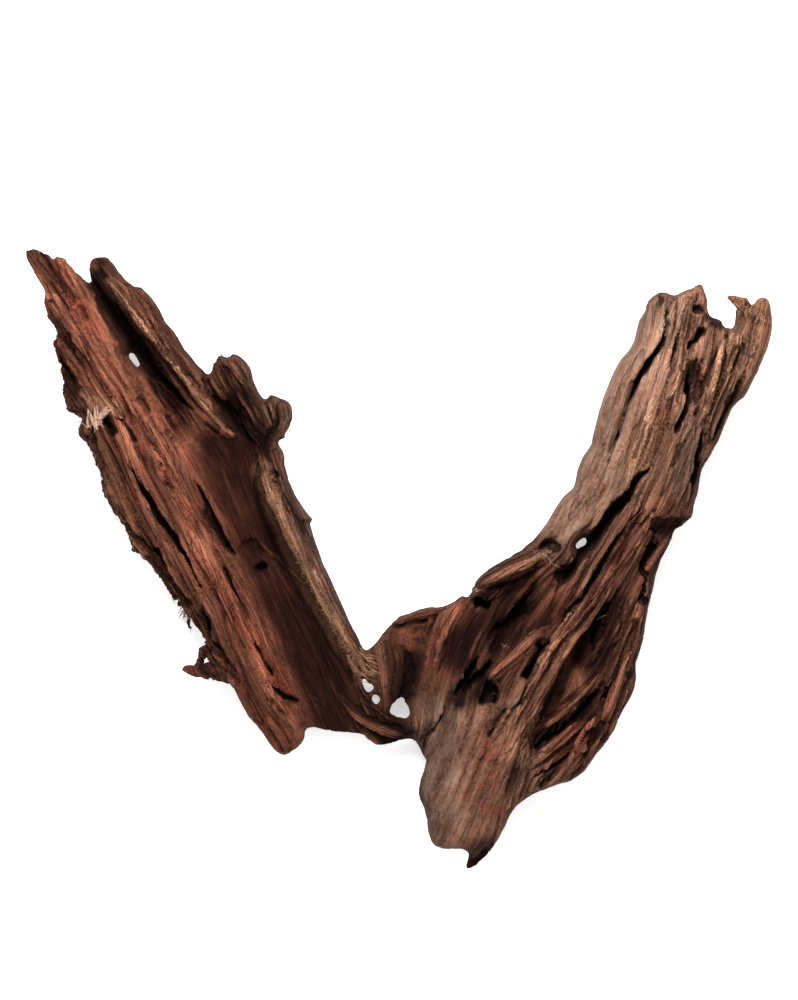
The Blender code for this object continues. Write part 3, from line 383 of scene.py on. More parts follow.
# Ridges and strands
# Between the splits stand harder ridges, and round strands that have come half free. A ridge is
# a rise on the surface; a strand is a tapered rope of wood with both ends sunk in the limb.
RIDGES = [
    (7, 4, 4, [
        (100, 272), (111, 283), (125, 299), (138, 317), (151, 336), (164, 353), (180, 371), (195, 392),
        (210, 411), (224, 426),
    ]),
    (5, 4, 5, [(54, 300), (69, 325), (84, 349), (98, 374), (114, 398), (130, 420)]),
    (5, 4, 4, [(40, 260), (60, 290), (79, 318), (95, 345), (112, 371), (130, 399), (142, 422)]),
    (3, 8, 8, [(160, 460), (185, 510), (205, 555), (222, 595), (244, 645)]),
    (5, 7, 7, [(276, 480), (300, 530), (318, 570), (335, 605), (350, 635), (366, 662)]),
    (6, 5, 5, [(358, 684), (372, 706), (388, 718), (404, 724)]),
    (3, 9, 9, [(90, 420), (105, 465), (120, 500), (150, 540)]),
    (6, 4, 4, [(176, 603), (195, 612), (203, 622), (207, 640), (215, 655), (230, 670)]),
    (7, 4, 3, [(258, 543), (275, 556), (290, 570), (309, 590)]),
    (7, 6, 6, [(221, 430), (229, 433), (237, 436)]),
    (5, 6, 6, [(222, 366), (236, 390), (248, 412), (262, 440)]),
    (8, 6, 5, [(640, 508), (622, 530), (606, 552), (594, 568), (584, 584), (573, 600), (560, 618)]),
    (10, 7, 6, [
        (652, 508), (634, 535), (616, 561), (601, 582), (588, 600), (575, 618), (560, 636), (547, 655),
        (534, 680), (520, 706), (503, 738),
    ]),
    (5, 3, 3, [(717, 344), (712, 370), (706, 395), (702, 410), (695, 430)]),
    (5, 6, 6, [(737, 340), (722, 380), (712, 405), (704, 430), (694, 464)]),
    (4, 5, 5, [(680, 345), (672, 380), (664, 410), (652, 440)]),
    (7, 4, 4, [(602, 662), (585, 685), (570, 700), (552, 712), (534, 724)]),
    (7, 4, 4, [(596, 686), (580, 712), (566, 730), (545, 748), (528, 764)]),
    (5, 4, 4, [(602, 676), (596, 700), (588, 722), (573, 748)]),
    (9, 7, 6, [(624, 655), (615, 685), (605, 710), (596, 735), (587, 760)]),
    (6, 6, 5, [(645, 575), (639, 615), (634, 640), (623, 666)]),
    (6, 8, 7, [(472, 586), (500, 571), (525, 559), (550, 548)]),
    (5, 5, 5, [(446, 607), (415, 613), (392, 624)]),
    (5, 4, 4, [(552, 620), (525, 645), (505, 662), (488, 676)]),
    (6, 3, 3, [(528, 730), (527, 760), (523, 780), (511, 808)]),
    (5, 4, 4, [(592, 612), (575, 640), (560, 668), (548, 695), (534, 722)]),
    (7, 5, 5, [(640, 596), (634, 630), (624, 662), (615, 690)]),
    (8, 7, 6, [(626, 672), (615, 695), (604, 718), (594, 740), (586, 762)]),
    (4, 3, 3, [(140, 298), (155, 318), (170, 338), (186, 360), (198, 380)]),
    (5, 4, 4, [(722, 336), (713, 368), (706, 398), (699, 428)]),
    (4, 4, 4, [(676, 360), (674, 385), (668, 408), (660, 430)]),
    (4, 4, 4, [(600, 380), (592, 410), (586, 440), (578, 470)]),
    (3, 2.5, 2.5, [(462, 600), (440, 640), (430, 680)]),
    (3, 3, 3, [(420, 618), (428, 650), (424, 690)]),
]
STRANDS = [
    (9.5, 5, [
        (650, 508), (628, 540), (612, 565), (597, 587), (582, 610), (564, 636), (550, 658), (535, 686),
        (519, 718), (504, 750),
    ]),
    (5, 3, [
        (636, 492), (620, 514), (604, 538), (592, 556), (580, 576), (568, 598), (552, 622), (540, 642),
    ]),
    (7, 4, [(641, 612), (629, 643), (618, 676), (607, 705), (596, 730), (584, 760)]),
    (4.5, 4, [(598, 670), (583, 688), (566, 704), (548, 717), (529, 735)]),
    (4.5, 4, [(604, 684), (592, 704), (578, 725), (562, 741), (545, 754), (525, 767)]),
    (3.5, 2.5, [(605, 698), (595, 719), (585, 738), (572, 758)]),
    (5, 2, [(338, 694), (352, 710), (370, 721), (390, 730), (410, 737)]),
    (7, 2, [(103, 266), (126, 298), (150, 335), (172, 368), (196, 402), (214, 422), (232, 437)]),
    (6, 1.5, [(88, 425), (106, 480), (134, 535), (166, 575), (192, 612), (214, 645), (234, 668)]),
    (5.5, 1.5, [(270, 462), (286, 512), (306, 558), (326, 600), (345, 636), (362, 664), (370, 684)]),
    (6, 2, [(223, 364), (238, 390), (252, 415), (268, 442)]),
    (7, 2, [(282, 402), (284, 418), (276, 436), (266, 452)]),
    (6, 2, [(690, 430), (704, 395), (714, 365), (722, 338)]),
    (6, 2, [(660, 402), (672, 375), (680, 340), (688, 300)]),
    (7, 1.5, [(640, 352), (622, 392), (606, 440), (590, 480), (566, 520)]),
    (6, 2, [(472, 589), (500, 574), (524, 562), (552, 548)]),
    (5, 2, [(548, 622), (524, 646), (504, 663), (486, 680)]),
]
STRAND_SINK = 6.0
STRAND_TAPER = 0.55


def put_in_scene(name, data):
    piece = bpy.data.objects.new(name, data)
    bpy.context.scene.collection.objects.link(piece)
    return piece


def round_curve(name, radius_unit, roundness):
    curve = bpy.data.curves.new(name, "CURVE")
    curve.dimensions = "3D"
    curve.bevel_depth = radius_unit
    curve.bevel_resolution = roundness
    return curve


def strands(name):
    curve = round_curve(name, PIXEL, 4)
    curve.use_fill_caps = True
    curve.resolution_u = 8
    for thickness, lift, points in STRANDS:
        line = np.array(points, float)
        heights = gauge_surface(line[:, 0], line[:, 1], 2) + lift
        spline = curve.splines.new("NURBS")
        spline.points.add(len(points) - 1)
        spline.use_endpoint_u = True
        last = len(points) - 1
        for number, (point, place, height) in enumerate(zip(spline.points, points, heights)):
            off_middle = abs(2 * number / last - 1)
            sunk = STRAND_SINK * off_middle ** 3
            point.co = (*plan(*place), (height - sunk) * MM - thickness * PIXEL, 1.0)
            point.radius = thickness * (1.0 - STRAND_TAPER * off_middle ** 2)
    return put_in_scene(name, curve)


# Grain
# The fibres run down both limbs and fan through the root. Ridges, splits and strands all follow
# them, so the grain at any place is the mean of the runs near it. Two smooth maps, distance
# along and distance across the fibres, are fitted to it and carry every streak and rib.
GRAIN_STEP = 4.0
GRAIN_COLUMNS = 201
GRAIN_ROWS = 226
CROSS_GRAIN = 0.35
SAMPLE_SPACING = 12
SAMPLE_BLUR = 60.0
OFF_WOOD_TRUST = 0.01


def grain_maps():
    rows, columns = np.mgrid[0:GRAIN_ROWS, 0:GRAIN_COLUMNS].astype(np.float32) * GRAIN_STEP
    flow = np.zeros((2, *rows.shape), np.float32)
    total = np.zeros(rows.shape, np.float32)
    runs = [item[-1] for item in (*SPLITS, *RIDGES, *STRANDS)]
    for run in runs:
        line = np.array(run, float)
        for a, b in zip(line[:-1], line[1:]):
            step = b - a if b[1] > a[1] else a - b
            length = np.hypot(*step)
            if step[1] < CROSS_GRAIN * length:
                continue
            samples = max(1, round(length / SAMPLE_SPACING))
            for share in np.arange(0.5, samples) / samples:
                mx, my = a + (b - a) * share
                weight = length / ((columns - mx) ** 2 + (rows - my) ** 2 + SAMPLE_BLUR) ** 1.5
                flow[0] += weight * step[0] / length
                flow[1] += weight * step[1] / length
                total += weight
    flow /= np.hypot(*flow)
    wood = np.zeros(rows.shape, np.float32)
    wood.ravel()[near_wood(columns.ravel(), rows.ravel())] = 1.0
    trust = OFF_WOOD_TRUST + wood
    return fitted(flow[0], flow[1], trust), fitted(flow[1], -flow[0], trust)


def near_wood(px, py):
    """Places inside the outline, by counting how often a line to the left crosses it."""
    crossed = np.zeros(px.shape, bool)
    for (ax, ay), (bx, by) in zip(OUTLINE, (*OUTLINE[1:], OUTLINE[0])):
        if ay != by:
            level = (py > min(ay, by)) & (py <= max(ay, by))
            crossed ^= level & (px < ax + (py - ay) * (bx - ax) / (by - ay))
    return np.flatnonzero(crossed)


FIT_STEPS = 900
FIT_ERROR = 1e-4


def fitted(slope_x, slope_y, trust):
    """The smooth map whose slopes are nearest to those asked for, by conjugate gradients."""
    trust_x = np.minimum(trust[:, 1:], trust[:, :-1])
    trust_y = np.minimum(trust[1:], trust[:-1])

    def gathered(dx, dy):
        out = np.zeros(trust.shape)
        out[:, 1:] += dx * trust_x
        out[:, :-1] -= dx * trust_x
        out[1:] += dy * trust_y
        out[:-1] -= dy * trust_y
        return out

    def curved(level):
        return gathered(np.diff(level, axis=1), np.diff(level, axis=0))

    asked_x = 0.5 * (slope_x[:, 1:] + slope_x[:, :-1]) * GRAIN_STEP
    asked_y = 0.5 * (slope_y[1:] + slope_y[:-1]) * GRAIN_STEP
    rows, columns = np.mgrid[0:trust.shape[0], 0:trust.shape[1]] * GRAIN_STEP
    level = slope_x.mean() * columns + slope_y.mean() * rows
    rest = gathered(asked_x, asked_y) - curved(level)
    search = rest.copy()
    energy = (rest * rest).sum()
    for _ in range(FIT_STEPS):
        moved = curved(search)
        share = energy / (search * moved).sum()
        level += share * search
        rest -= share * moved
        fresh = (rest * rest).sum()
        search = rest + search * (fresh / energy)
        energy = fresh
        if energy < FIT_ERROR:
            break
    return level


def read_map(grid, px, py):
    """The value of a map between its grid points."""
    column = np.clip(px / GRAIN_STEP, 0, GRAIN_COLUMNS - 1.001)
    row = np.clip(py / GRAIN_STEP, 0, GRAIN_ROWS - 1.001)
    c = column.astype(int)
    r = row.astype(int)
    fc = column - c
    fr = row - r
    upper = grid[r, c] * (1 - fc) + grid[r, c + 1] * fc
    lower = grid[r + 1, c] * (1 - fc) + grid[r + 1, c + 1] * fc
    return upper * (1 - fr) + lower * fr


LATTICE = 64
NOISE_GAIN = 1.6


def fibre_noise(u, v, w, seed):
    """Smooth random values, mostly between -1 and 1, in three directions, from a seeded lattice."""
    values = np.random.default_rng(seed).uniform(-1.0, 1.0, (LATTICE,) * 3).astype(np.float32)
    whole = [np.floor(axis).astype(int) for axis in (u, v, w)]
    part = [eased(axis - floor).astype(np.float32) for axis, floor in zip((u, v, w), whole)]
    blend = np.zeros(np.shape(u), np.float32)
    for corner in range(8):
        steps = [(corner >> bit) & 1 for bit in range(3)]
        share = np.ones(np.shape(u), np.float32)
        for step, fraction in zip(steps, part):
            share = share * (fraction if step else 1.0 - fraction)
        index = [(floor + step) % LATTICE for floor, step in zip(whole, steps)]
        blend += share * values[index[0], index[1], index[2]]
    return blend * NOISE_GAIN


# Zones of the surface
# Weather and wear have left the wood in different states: the smooth hollow, the crumbling outer
# layer, grey bleached flanks, tan frayed rims. Other zones paint light and shade: painted shade in
# the low hollow and recesses, painted dimming of shaded places, and pale ridges that are partly
# rubbed and partly a painted highlight. Each zone is a few wide runs.
ZONES = {
    "smooth": [
        (34, [(215, 440), (240, 500), (268, 560), (296, 620), (318, 680), (325, 715)]),
        (14, [(442, 735), (436, 780), (442, 830)]),
        (12, [(580, 640), (572, 680)]),
    ],
    "planed": [
        (30, [(480, 725), (470, 780), (474, 835)]),
        (28, [(630, 350), (608, 430), (588, 490), (560, 520)]),
        (24, [(400, 625), (424, 655), (426, 700)]),
        (16, [(88, 318), (104, 340), (120, 358), (134, 378), (154, 408)]),
        (22, [(500, 712), (494, 750), (484, 800)]),
    ],
    # Painted shade where the hollow and the recesses lie low.
    "recess_shade": [
        (34, [(225, 455), (246, 502), (272, 560), (300, 620), (322, 680), (334, 712)]),
        (13, [(100, 284), (113, 297), (129, 324), (148, 350), (166, 380), (178, 400)]),
        (6, [(704, 321), (716, 328)]),
        (8, [(484, 596), (508, 588), (530, 579)]),
        (18, [(240, 405), (256, 440)]),
        (18, [(604, 600), (592, 630), (586, 655)]),
        (14, [(580, 705), (560, 722), (538, 738)]),
        (26, [(462, 650), (500, 630), (520, 612)]),
        (13, [(412, 660), (406, 690)]),
        (14, [(480, 680), (460, 695)]),
        (20, [(484, 852), (468, 872)]),
        (16, [(360, 715), (400, 735)]),
    ],
    # Painted shade that dims places the light hardly reaches.
    "dim_shade": [
        (60, [(640, 560), (625, 630)]),
        (30, [(620, 670), (604, 720)]),
        (46, [(510, 600), (488, 655)]),
        (22, [(562, 684), (552, 730)]),
        (50, [(390, 650), (410, 690), (440, 660)]),
        (30, [(224, 384), (262, 430)]),
        (26, [(90, 430), (108, 490), (140, 545), (180, 600), (215, 655)]),
        (18, [(60, 320), (66, 380), (75, 405)]),
        (24, [(728, 400), (712, 440), (696, 500)]),
        (9, [(154, 300), (184, 346), (204, 372)]),
        (10, [(99, 292), (114, 318), (128, 342), (144, 362), (160, 384)]),
        (16, [(190, 668), (215, 672)]),
        (24, [(345, 725), (400, 742)]),
        (16, [(33, 255), (50, 280)]),
        (14, [(97, 262), (110, 280)]),
        (26, [(478, 592), (515, 574), (545, 560)]),
        (24, [(296, 615), (320, 676), (332, 710)]),
        (12, [(276, 404), (290, 416)]),
        (20, [(436, 730), (428, 780), (436, 825)]),
    ],
    "crumb": [
        (20, [
            (70, 330), (68, 380), (84, 425), (98, 470), (118, 512), (142, 555), (172, 592), (200, 640),
            (220, 672),
        ]),
        (26, [(478, 800), (488, 764)]),
        (11, [(130, 295), (150, 325), (175, 360), (198, 392)]),
        (12, [(88, 318), (104, 340), (120, 358), (134, 378), (154, 408)]),
        (16, [(500, 712), (494, 745)]),
        (24, [(398, 630), (424, 645), (416, 690)]),
        (9, [(660, 300), (672, 325)]),
        (10, [(742, 312), (756, 318)]),
        (10, [(636, 430), (626, 462)]),
    ],
    "tan": [
        (11, [(264, 470), (276, 512), (292, 550), (312, 592), (338, 636), (366, 676)]),
        (9, [(88, 400), (118, 410)]),
        (2.8, [(112, 283), (135, 312), (150, 333), (165, 352), (185, 376), (203, 400), (224, 426)]),
        (24, [(745, 320), (735, 370), (712, 410)]),
        (4, [(475, 590), (510, 572), (550, 545)]),
        (16, [(638, 432), (628, 466)]),
    ],
    "grey": [
        (42, [(640, 320), (610, 400), (590, 460), (560, 505)]),
        (26, [(446, 712), (438, 770), (440, 830)]),
        (20, [(294, 496), (312, 540), (340, 606)]),
        (16, [(412, 735), (432, 752)]),
        (12, [(690, 430), (675, 490)]),
        (9, [(742, 346), (746, 364)]),
    ],
    "ochre": [
        (16, [(95, 440), (115, 500), (150, 560), (190, 610), (222, 660)]),
        (14, [(650, 420), (675, 470), (660, 500)]),
    ],
    # Pale ridges and strands: partly rubbed wear, partly a painted highlight where the light falls.
    "rubbed_and_lit": [
        (30, [(62, 285), (86, 325), (112, 370), (140, 420), (162, 452)]),
        (9, [(180, 490), (205, 545), (225, 590), (250, 640), (275, 700)]),
        (5, [(268, 478), (284, 516)]),
        (24, [(684, 300), (664, 380), (642, 460)]),
        (14, [(650, 508), (612, 564), (575, 618), (547, 660), (526, 702), (506, 746)]),
        (7, [(612, 545), (590, 578), (570, 605)]),
        (12, [(585, 620), (572, 680)]),
        (20, [(735, 310), (725, 380), (705, 440)]),
        (18, [(752, 306), (758, 326), (748, 350)]),
        (8, [(118, 285), (150, 325), (184, 366), (214, 404)]),
    ],
    "rust": [
        (6, [(489, 743), (488, 755)]),
        (5, [(465, 789), (469, 795)]),
        (5, [(484, 802), (491, 807)]),
        (6, [(497, 808), (505, 813)]),
        (9, [(84, 308), (96, 330)]),
        (7, [(694, 372), (697, 400)]),
        (8, [(60, 345), (68, 392)]),
        (9, [(245, 620), (262, 650), (288, 695)]),
        (5, [(450, 640), (475, 622), (492, 614)]),
        (5, [(560, 700), (532, 733)]),
    ],
    "russet": [
        (62, [(650, 560), (618, 640), (585, 720)]),
        (56, [(530, 590), (490, 640), (440, 650)]),
        (40, [(668, 530), (648, 600), (632, 660)]),
    ],
    "ember": [
        (40, [(60, 290), (90, 350), (130, 410), (180, 500), (220, 590), (262, 690), (282, 745)]),
        (14, [(602, 690), (580, 730), (556, 760)]),
        (16, [(497, 725), (486, 765), (494, 800)]),
        (16, [(750, 306), (756, 336)]),
        (40, [(430, 640), (480, 630), (530, 600)]),
    ],
}
ZONE_SPREAD = 1.3
ZONE_SOFTNESS = 0.8


def zone_strength(name, px, py):
    """How fully a zone covers each place, 0 to 1, soft at its edge."""
    strength = np.zeros(px.shape, np.float32)
    for reach, points in ZONES[name]:
        near = near_run(px, py, points, reach * ZONE_SPREAD)
        distance = run_of(px[near], py[near], points)[0]
        cover = eased((ZONE_SPREAD - distance / reach) / ZONE_SOFTNESS)
        strength[near] = np.maximum(strength[near], cover)
    return strength


# Upper face and underside
# The upper face is the gauge surface with its ridges raised and its splits cut. The underside is
# the outer skin of both limbs, long furrows in it, with three worn low spots that carry the weight.
FEET = [(192, 432), (662, 440), (458, 788)]
FOOT_PRESS = 2.0
FOOT_SPREAD = 0.034
FLAT_RADIUS = 0.011
UNDER_CLEARANCE = 2.0
UNDER_FURROW = 6.0
FRAY = 0.3
OPEN_SPLIT = 0.55
BLACK_DEPTH = 9.0


def upper_face(px, py):
    height = gauge_surface(px, py, 2)
    for rise, left, right, points in RIDGES:
        lift = stroke(px, py, left, right, points)
        height += rise * (0.5 * lift + 0.5 * eased(lift))
    return height


def split_depth(px, py, along, across):
    """Depth of the splits in millimetres, their lips frayed along the fibres."""
    level = np.zeros(px.shape, np.float32)
    frayed = fibre_noise(along / 26.0, across / 3.6, level, 61)
    frayed += 0.6 * fibre_noise(along / 11.0, across / 2.4, level, 62)
    depth = np.zeros(px.shape, np.float32)
    for deep, left, right, points in SPLITS:
        ragged = frayed * FRAY * min(left, right)
        depth = np.maximum(depth, deep * stroke(px, py, left, right, points, 1.7, ragged))
    return depth


def pit_darkness(px, py):
    """How black it is inside a split: a deep narrow one lets no light in."""
    darkness = np.zeros(px.shape, np.float32)
    for deep, left, right, points in SPLITS:
        closed = eased((deep / (left + right) - OPEN_SPLIT) / 1.1) * min(1.0, deep / BLACK_DEPTH)
        darkness = np.maximum(darkness, closed * stroke(px, py, left, right, points, 2.2))
    return darkness


def underside(px, py, along, across):
    height = gauge_surface(px, py, 3) + UNDER_CLEARANCE
    level = np.zeros(px.shape, np.float32)
    height += UNDER_FURROW * eased(fibre_noise(along / 110.0, across / 13.0, level, 8) * 1.1)
    height += 0.3 * UNDER_FURROW * fibre_noise(along / 45.0, across / 6.0, level, 9)
    for fx, fy in FEET:
        away = np.hypot(px - fx, py - fy) * PIXEL
        press = eased((FOOT_SPREAD - away) / (FOOT_SPREAD - FLAT_RADIUS))
        height = height * (1 - press) - FOOT_PRESS * press
    return height


# The solid fork
# A flat slab with the outline of the wood is swollen to both faces, rounded over at the rim, and
# made one skin with the strands. Remeshing spreads its faces evenly before the fibres are cut.
SLAB = 0.0025
THIN = 0.005
RIM = 0.0085
FIRST_FACE = 0.00092
LAST_FACE = 0.0009


def as_piece(shape, name):
    mesh = bpy.data.meshes.new(name)
    shape.to_mesh(mesh)
    shape.free()
    return put_in_scene(name, mesh)


def slab(name):
    shape = bmesh.new()
    for points in (OUTLINE, *DAYLIGHT_HOLES.values()):
        ring = [shape.verts.new((*plan(*place), -SLAB / 2)) for place in points]
        for first, second in zip(ring, ring[1:] + ring[:1]):
            shape.edges.new((first, second))
    bmesh.ops.triangle_fill(shape, use_beauty=True, edges=shape.edges[:])
    bmesh.ops.recalc_face_normals(shape, faces=shape.faces[:])
    lower = shape.faces[:]
    grown = bmesh.ops.extrude_face_region(shape, geom=lower, use_keep_orig=True)
    raised = [item for item in grown["geom"] if isinstance(item, bmesh.types.BMVert)]
    bmesh.ops.translate(shape, verts=raised, vec=(0.0, 0.0, SLAB))
    bmesh.ops.recalc_face_normals(shape, faces=shape.faces[:])
    return as_piece(shape, name)


def apply_modifier(piece, kind, **settings):
    modifier = piece.modifiers.new(kind.title(), kind)
    for setting, value in settings.items():
        setattr(modifier, setting, value)
    bpy.context.view_layer.objects.active = piece
    bpy.ops.object.modifier_apply(modifier=modifier.name)


def only_selected(*pieces):
    bpy.ops.object.select_all(action="DESELECT")
    for piece in pieces:
        piece.select_set(True)
    bpy.context.view_layer.objects.active = pieces[0]


def vertex_places(mesh):
    places = np.empty(len(mesh.vertices) * 3, np.float32)
    mesh.vertices.foreach_get("co", places)
    return places.reshape(-1, 3)


def vertex_normals(mesh):
    normals = np.empty(len(mesh.vertices) * 3, np.float32)
    mesh.vertex_normals.foreach_get("vector", normals)
    return normals.reshape(-1, 3)


def set_places(mesh, places):
    mesh.vertices.foreach_set("co", places.astype(np.float32).ravel())
    mesh.update()


def to_edge(px, py):
    nearest = np.full(px.shape, FAR_PIXELS, np.float32)
    for points in (OUTLINE, *DAYLIGHT_HOLES.values()):
        ring = np.array([*points, points[0]], np.float32)
        for a, b in zip(ring[:-1], ring[1:]):
            near = near_run(px, py, (a, b), RIM / PIXEL + 1)
            nearest[near] = np.minimum(nearest[near], run_of(px[near], py[near], (a, b))[0])
    return nearest * PIXEL


along_map, across_map = grain_maps()
fork = slab("driftwood_fork")
apply_modifier(fork, "REMESH", mode="VOXEL", voxel_size=FIRST_FACE)

places = vertex_places(fork.data)
px, py = pixels(places[:, 0], places[:, 1])
along = read_map(along_map, px, py)
across = read_map(across_map, px, py)
upper = (upper_face(px, py) - split_depth(px, py, along, across)) * MM
lower = underside(px, py, along, across) * MM
upper = np.maximum(upper, lower + THIN)
fullness = np.sqrt(1.0 - (1.0 - np.clip(to_edge(px, py) / RIM, 0.0, 1.0)) ** 2)
middle = (upper + lower) / 2
layer = np.clip(places[:, 2] / (SLAB / 2), -1.0, 1.0)
places[:, 2] = middle + (upper - middle) * fullness * layer + layer * SLAB / 4
set_places(fork.data, places)

ropes = strands("driftwood_strands")
only_selected(ropes)
bpy.ops.object.convert(target="MESH")
only_selected(fork, ropes)
bpy.ops.object.join()
apply_modifier(fork, "REMESH", mode="VOXEL", voxel_size=LAST_FACE)
apply_modifier(fork, "SMOOTH", factor=0.5, iterations=1)


# Fibres and crumbs
# Weathered wood is a bundle of fibres: round strands a few millimetres wide, each standing a little
# higher or lower than the next, split from it by a sharp gap, with a crumbling skin where it rots.

# Rise and step, then length and width in millimetres, and seed
STRAND_LAYERS = [
    (0.8, 1.1, 110.0, 6.5, 31),
    (0.6, 0.8, 70.0, 3.2, 32),
    (0.4, 0.55, 40.0, 1.8, 33),
]
# Rise and width in millimetres, and seed
CRUMB_LAYERS = [(0.44, 1.6, 51), (0.4, 1.0, 52)]
# Depth, length and width in millimetres, and seed
SLIT_LAYERS = [(1.5, 36.0, 1.7, 54), (1.0, 18.0, 1.1, 55)]
RIDGE_BUNDLE = 5
RIDGE_HOLD = 0.8
STRAND_HOLD = 1.05
BUNDLE_POINT = 0.18
BUNDLE_SHIFT = (400.0, 97.0)
SMOOTHED = 0.78
PLANED = 0.55
RIM_REACH = 0.006
FLOOR_REACH = 0.004


def follow_ropes(px, py, along, across):
    """Turns the grain on each ridge and strand to run with it, as its own bundle of fibres."""
    high_ridges = [ridge for ridge in RIDGES if ridge[0] >= RIDGE_BUNDLE]
    bundles = [(RIDGE_HOLD * left, RIDGE_HOLD * right, run) for _, left, right, run in high_ridges]
    bundles += [(STRAND_HOLD * half, STRAND_HOLD * half, run) for half, _, run in sorted(STRANDS)]
    for number, (left, right, run) in enumerate(bundles):
        near = near_run(px, py, run, max(left, right))
        distance, side, share = run_of(px[near], py[near], run)
        point = np.clip(np.minimum(share, 1.0 - share) / BUNDLE_POINT, 0.0, 1.0) ** 0.6
        on_it = distance < np.where(side > 0, left, right) * point
        length = sum(math.dist(a, b) for a, b in zip(run, run[1:]))
        along[near[on_it]] = (share * length)[on_it] + BUNDLE_SHIFT[0] * number
        across[near[on_it]] = (np.sign(side) * distance)[on_it] + BUNDLE_SHIFT[1] * number


def strand_layer(u, over, wander_by, long, wide, seed):
    """Bow of each strand, 0 in the gaps, and its own height, -1 to 1."""
    level = np.zeros(u.shape, np.float32)
    phase = over / wide + fibre_noise(u / long, over / wide / 5, wander_by / 40.0, seed) * 1.1
    strand = np.floor(phase)
    bow = np.sqrt(1.0 - (2.0 * (phase - strand) - 1.0) ** 2)
    return bow, fibre_noise(u / long * 2.2 + strand * 0.37, strand, level, seed + 100)


def fibre_relief(u, over, wander_by):
    ribs = np.zeros(u.shape, np.float32)
    gaps = np.zeros(u.shape, np.float32)
    for rise, step, long, wide, seed in STRAND_LAYERS:
        bow, own = strand_layer(u, over, wander_by, long, wide, seed)
        ribs += rise * (bow - 0.75) + step * own
        gaps = np.maximum(gaps, (1.0 - bow) * min(1.0, rise / 0.7))
    return ribs, gaps


places = vertex_places(fork.data)
normals = vertex_normals(fork.data)
px, py = pixels(places[:, 0], places[:, 1])
along = read_map(along_map, px, py)
across = read_map(across_map, px, py)
follow_ropes(px, py, along, across)
grain_u = along * PIXEL / MM
grain_v = across * PIXEL / MM
grain_w = places[:, 2] / MM - upper_face(px, py)
smooth_zone = zone_strength("smooth", px, py)
crumb_zone = zone_strength("crumb", px, py)
planed_zone = zone_strength("planed", px, py)
roughness = 1.0 - np.maximum(SMOOTHED * smooth_zone, PLANED * planed_zone)
wall = (1.0 - eased((np.abs(normals[:, 2]) - 0.3) / 0.4)) * eased((-grain_w - 0.5) / 1.5)
flat_ribs, flat_gaps = fibre_relief(grain_u, grain_v, grain_w)
wall_ribs, wall_gaps = fibre_relief(grain_u, grain_w, grain_v)
ribs = flat_ribs * (1 - wall) + 0.6 * wall_ribs * wall
gaps = flat_gaps * (1 - wall) + wall_gaps * wall
crumbs = np.zeros(px.shape, np.float32)
for rise, wide, seed in CRUMB_LAYERS:
    crumbs += rise * fibre_noise(grain_u / wide / 2.0, grain_v / wide, grain_w / wide, seed)
slits = np.zeros(px.shape, np.float32)
for deep, long, wide, seed in SLIT_LAYERS:
    wave = fibre_noise(grain_u / long, grain_v / wide, grain_w / wide / 2, seed)
    slits = np.maximum(slits, deep * eased((wave - 0.42) / 0.2))
slits *= roughness * (0.7 + 0.3 * crumb_zone)
gaps = np.maximum(gaps, slits / 1.6)
inland = eased(to_edge(px, py) / RIM_REACH)
held = np.maximum(0.35 + 0.65 * inland, 0.85 * crumb_zone)
shift = (ribs * roughness + crumbs * (crumb_zone + 0.12) - slits) * held - 0.3 * (1 - inland)
off_floor = eased((places[:, 2] - 0.0005) / FLOOR_REACH)
shift *= np.where(normals[:, 2] < 0, off_floor, 1.0)
places += normals * (shift * MM)[:, None]
places[:, 2] = np.maximum(places[:, 2], 0.0)
set_places(fork.data, places)
apply_modifier(fork, "SMOOTH", factor=0.15, iterations=1)
places = vertex_places(fork.data)
for axis in range(3):
    places[:, axis] = np.clip(places[:, axis], cad_box[0][axis], cad_box[1][axis])
set_places(fork.data, places)


# Marks for the finish
# What the finish needs to know at each point of the skin: where it lies in the grain, how deep in
# a split, how high on a rib, how high above the gauge surface, and in which zones. The finish
# uses the heights for painted shade in low places and painted highlight on high ones.
PROUD_SPAN = 15.0
PLANED_LOOK = 0.72
ROOT_EDGE = (350, 640)


def give_mark(mesh, name, values):
    mark = mesh.attributes.new(name, "FLOAT", "POINT")
    mark.data.foreach_set("value", np.ascontiguousarray(values, np.float32))


places = vertex_places(fork.data)
px, py = pixels(places[:, 0], places[:, 1])
grain = fork.data.attributes.new("grain", "FLOAT_VECTOR", "POINT")
grain.data.foreach_set("vector", np.stack([grain_u, grain_v, grain_w], 1).astype(np.float32).ravel())
sunk = eased((upper_face(px, py) - places[:, 2] / MM) / 8.0) * eased(normals[:, 2] * 2.0 + 0.8)
give_mark(fork.data, "pit", pit_darkness(px, py) * sunk)
# Painted shade in the gaps between fibres and in the slits.
give_mark(fork.data, "gap_shade", np.clip(gaps * (0.4 + 0.6 * roughness), 0.0, 1.0))
# Rib height, which the finish uses to paint rib tops lighter and the gaps between them darker.
give_mark(fork.data, "rise", np.clip(0.5 + ribs * roughness / 4.0, 0.0, 1.0))
give_mark(fork.data, "wall", wall)
give_mark(fork.data, "rough", 1.0 - np.maximum(SMOOTHED * smooth_zone, PLANED_LOOK * planed_zone))
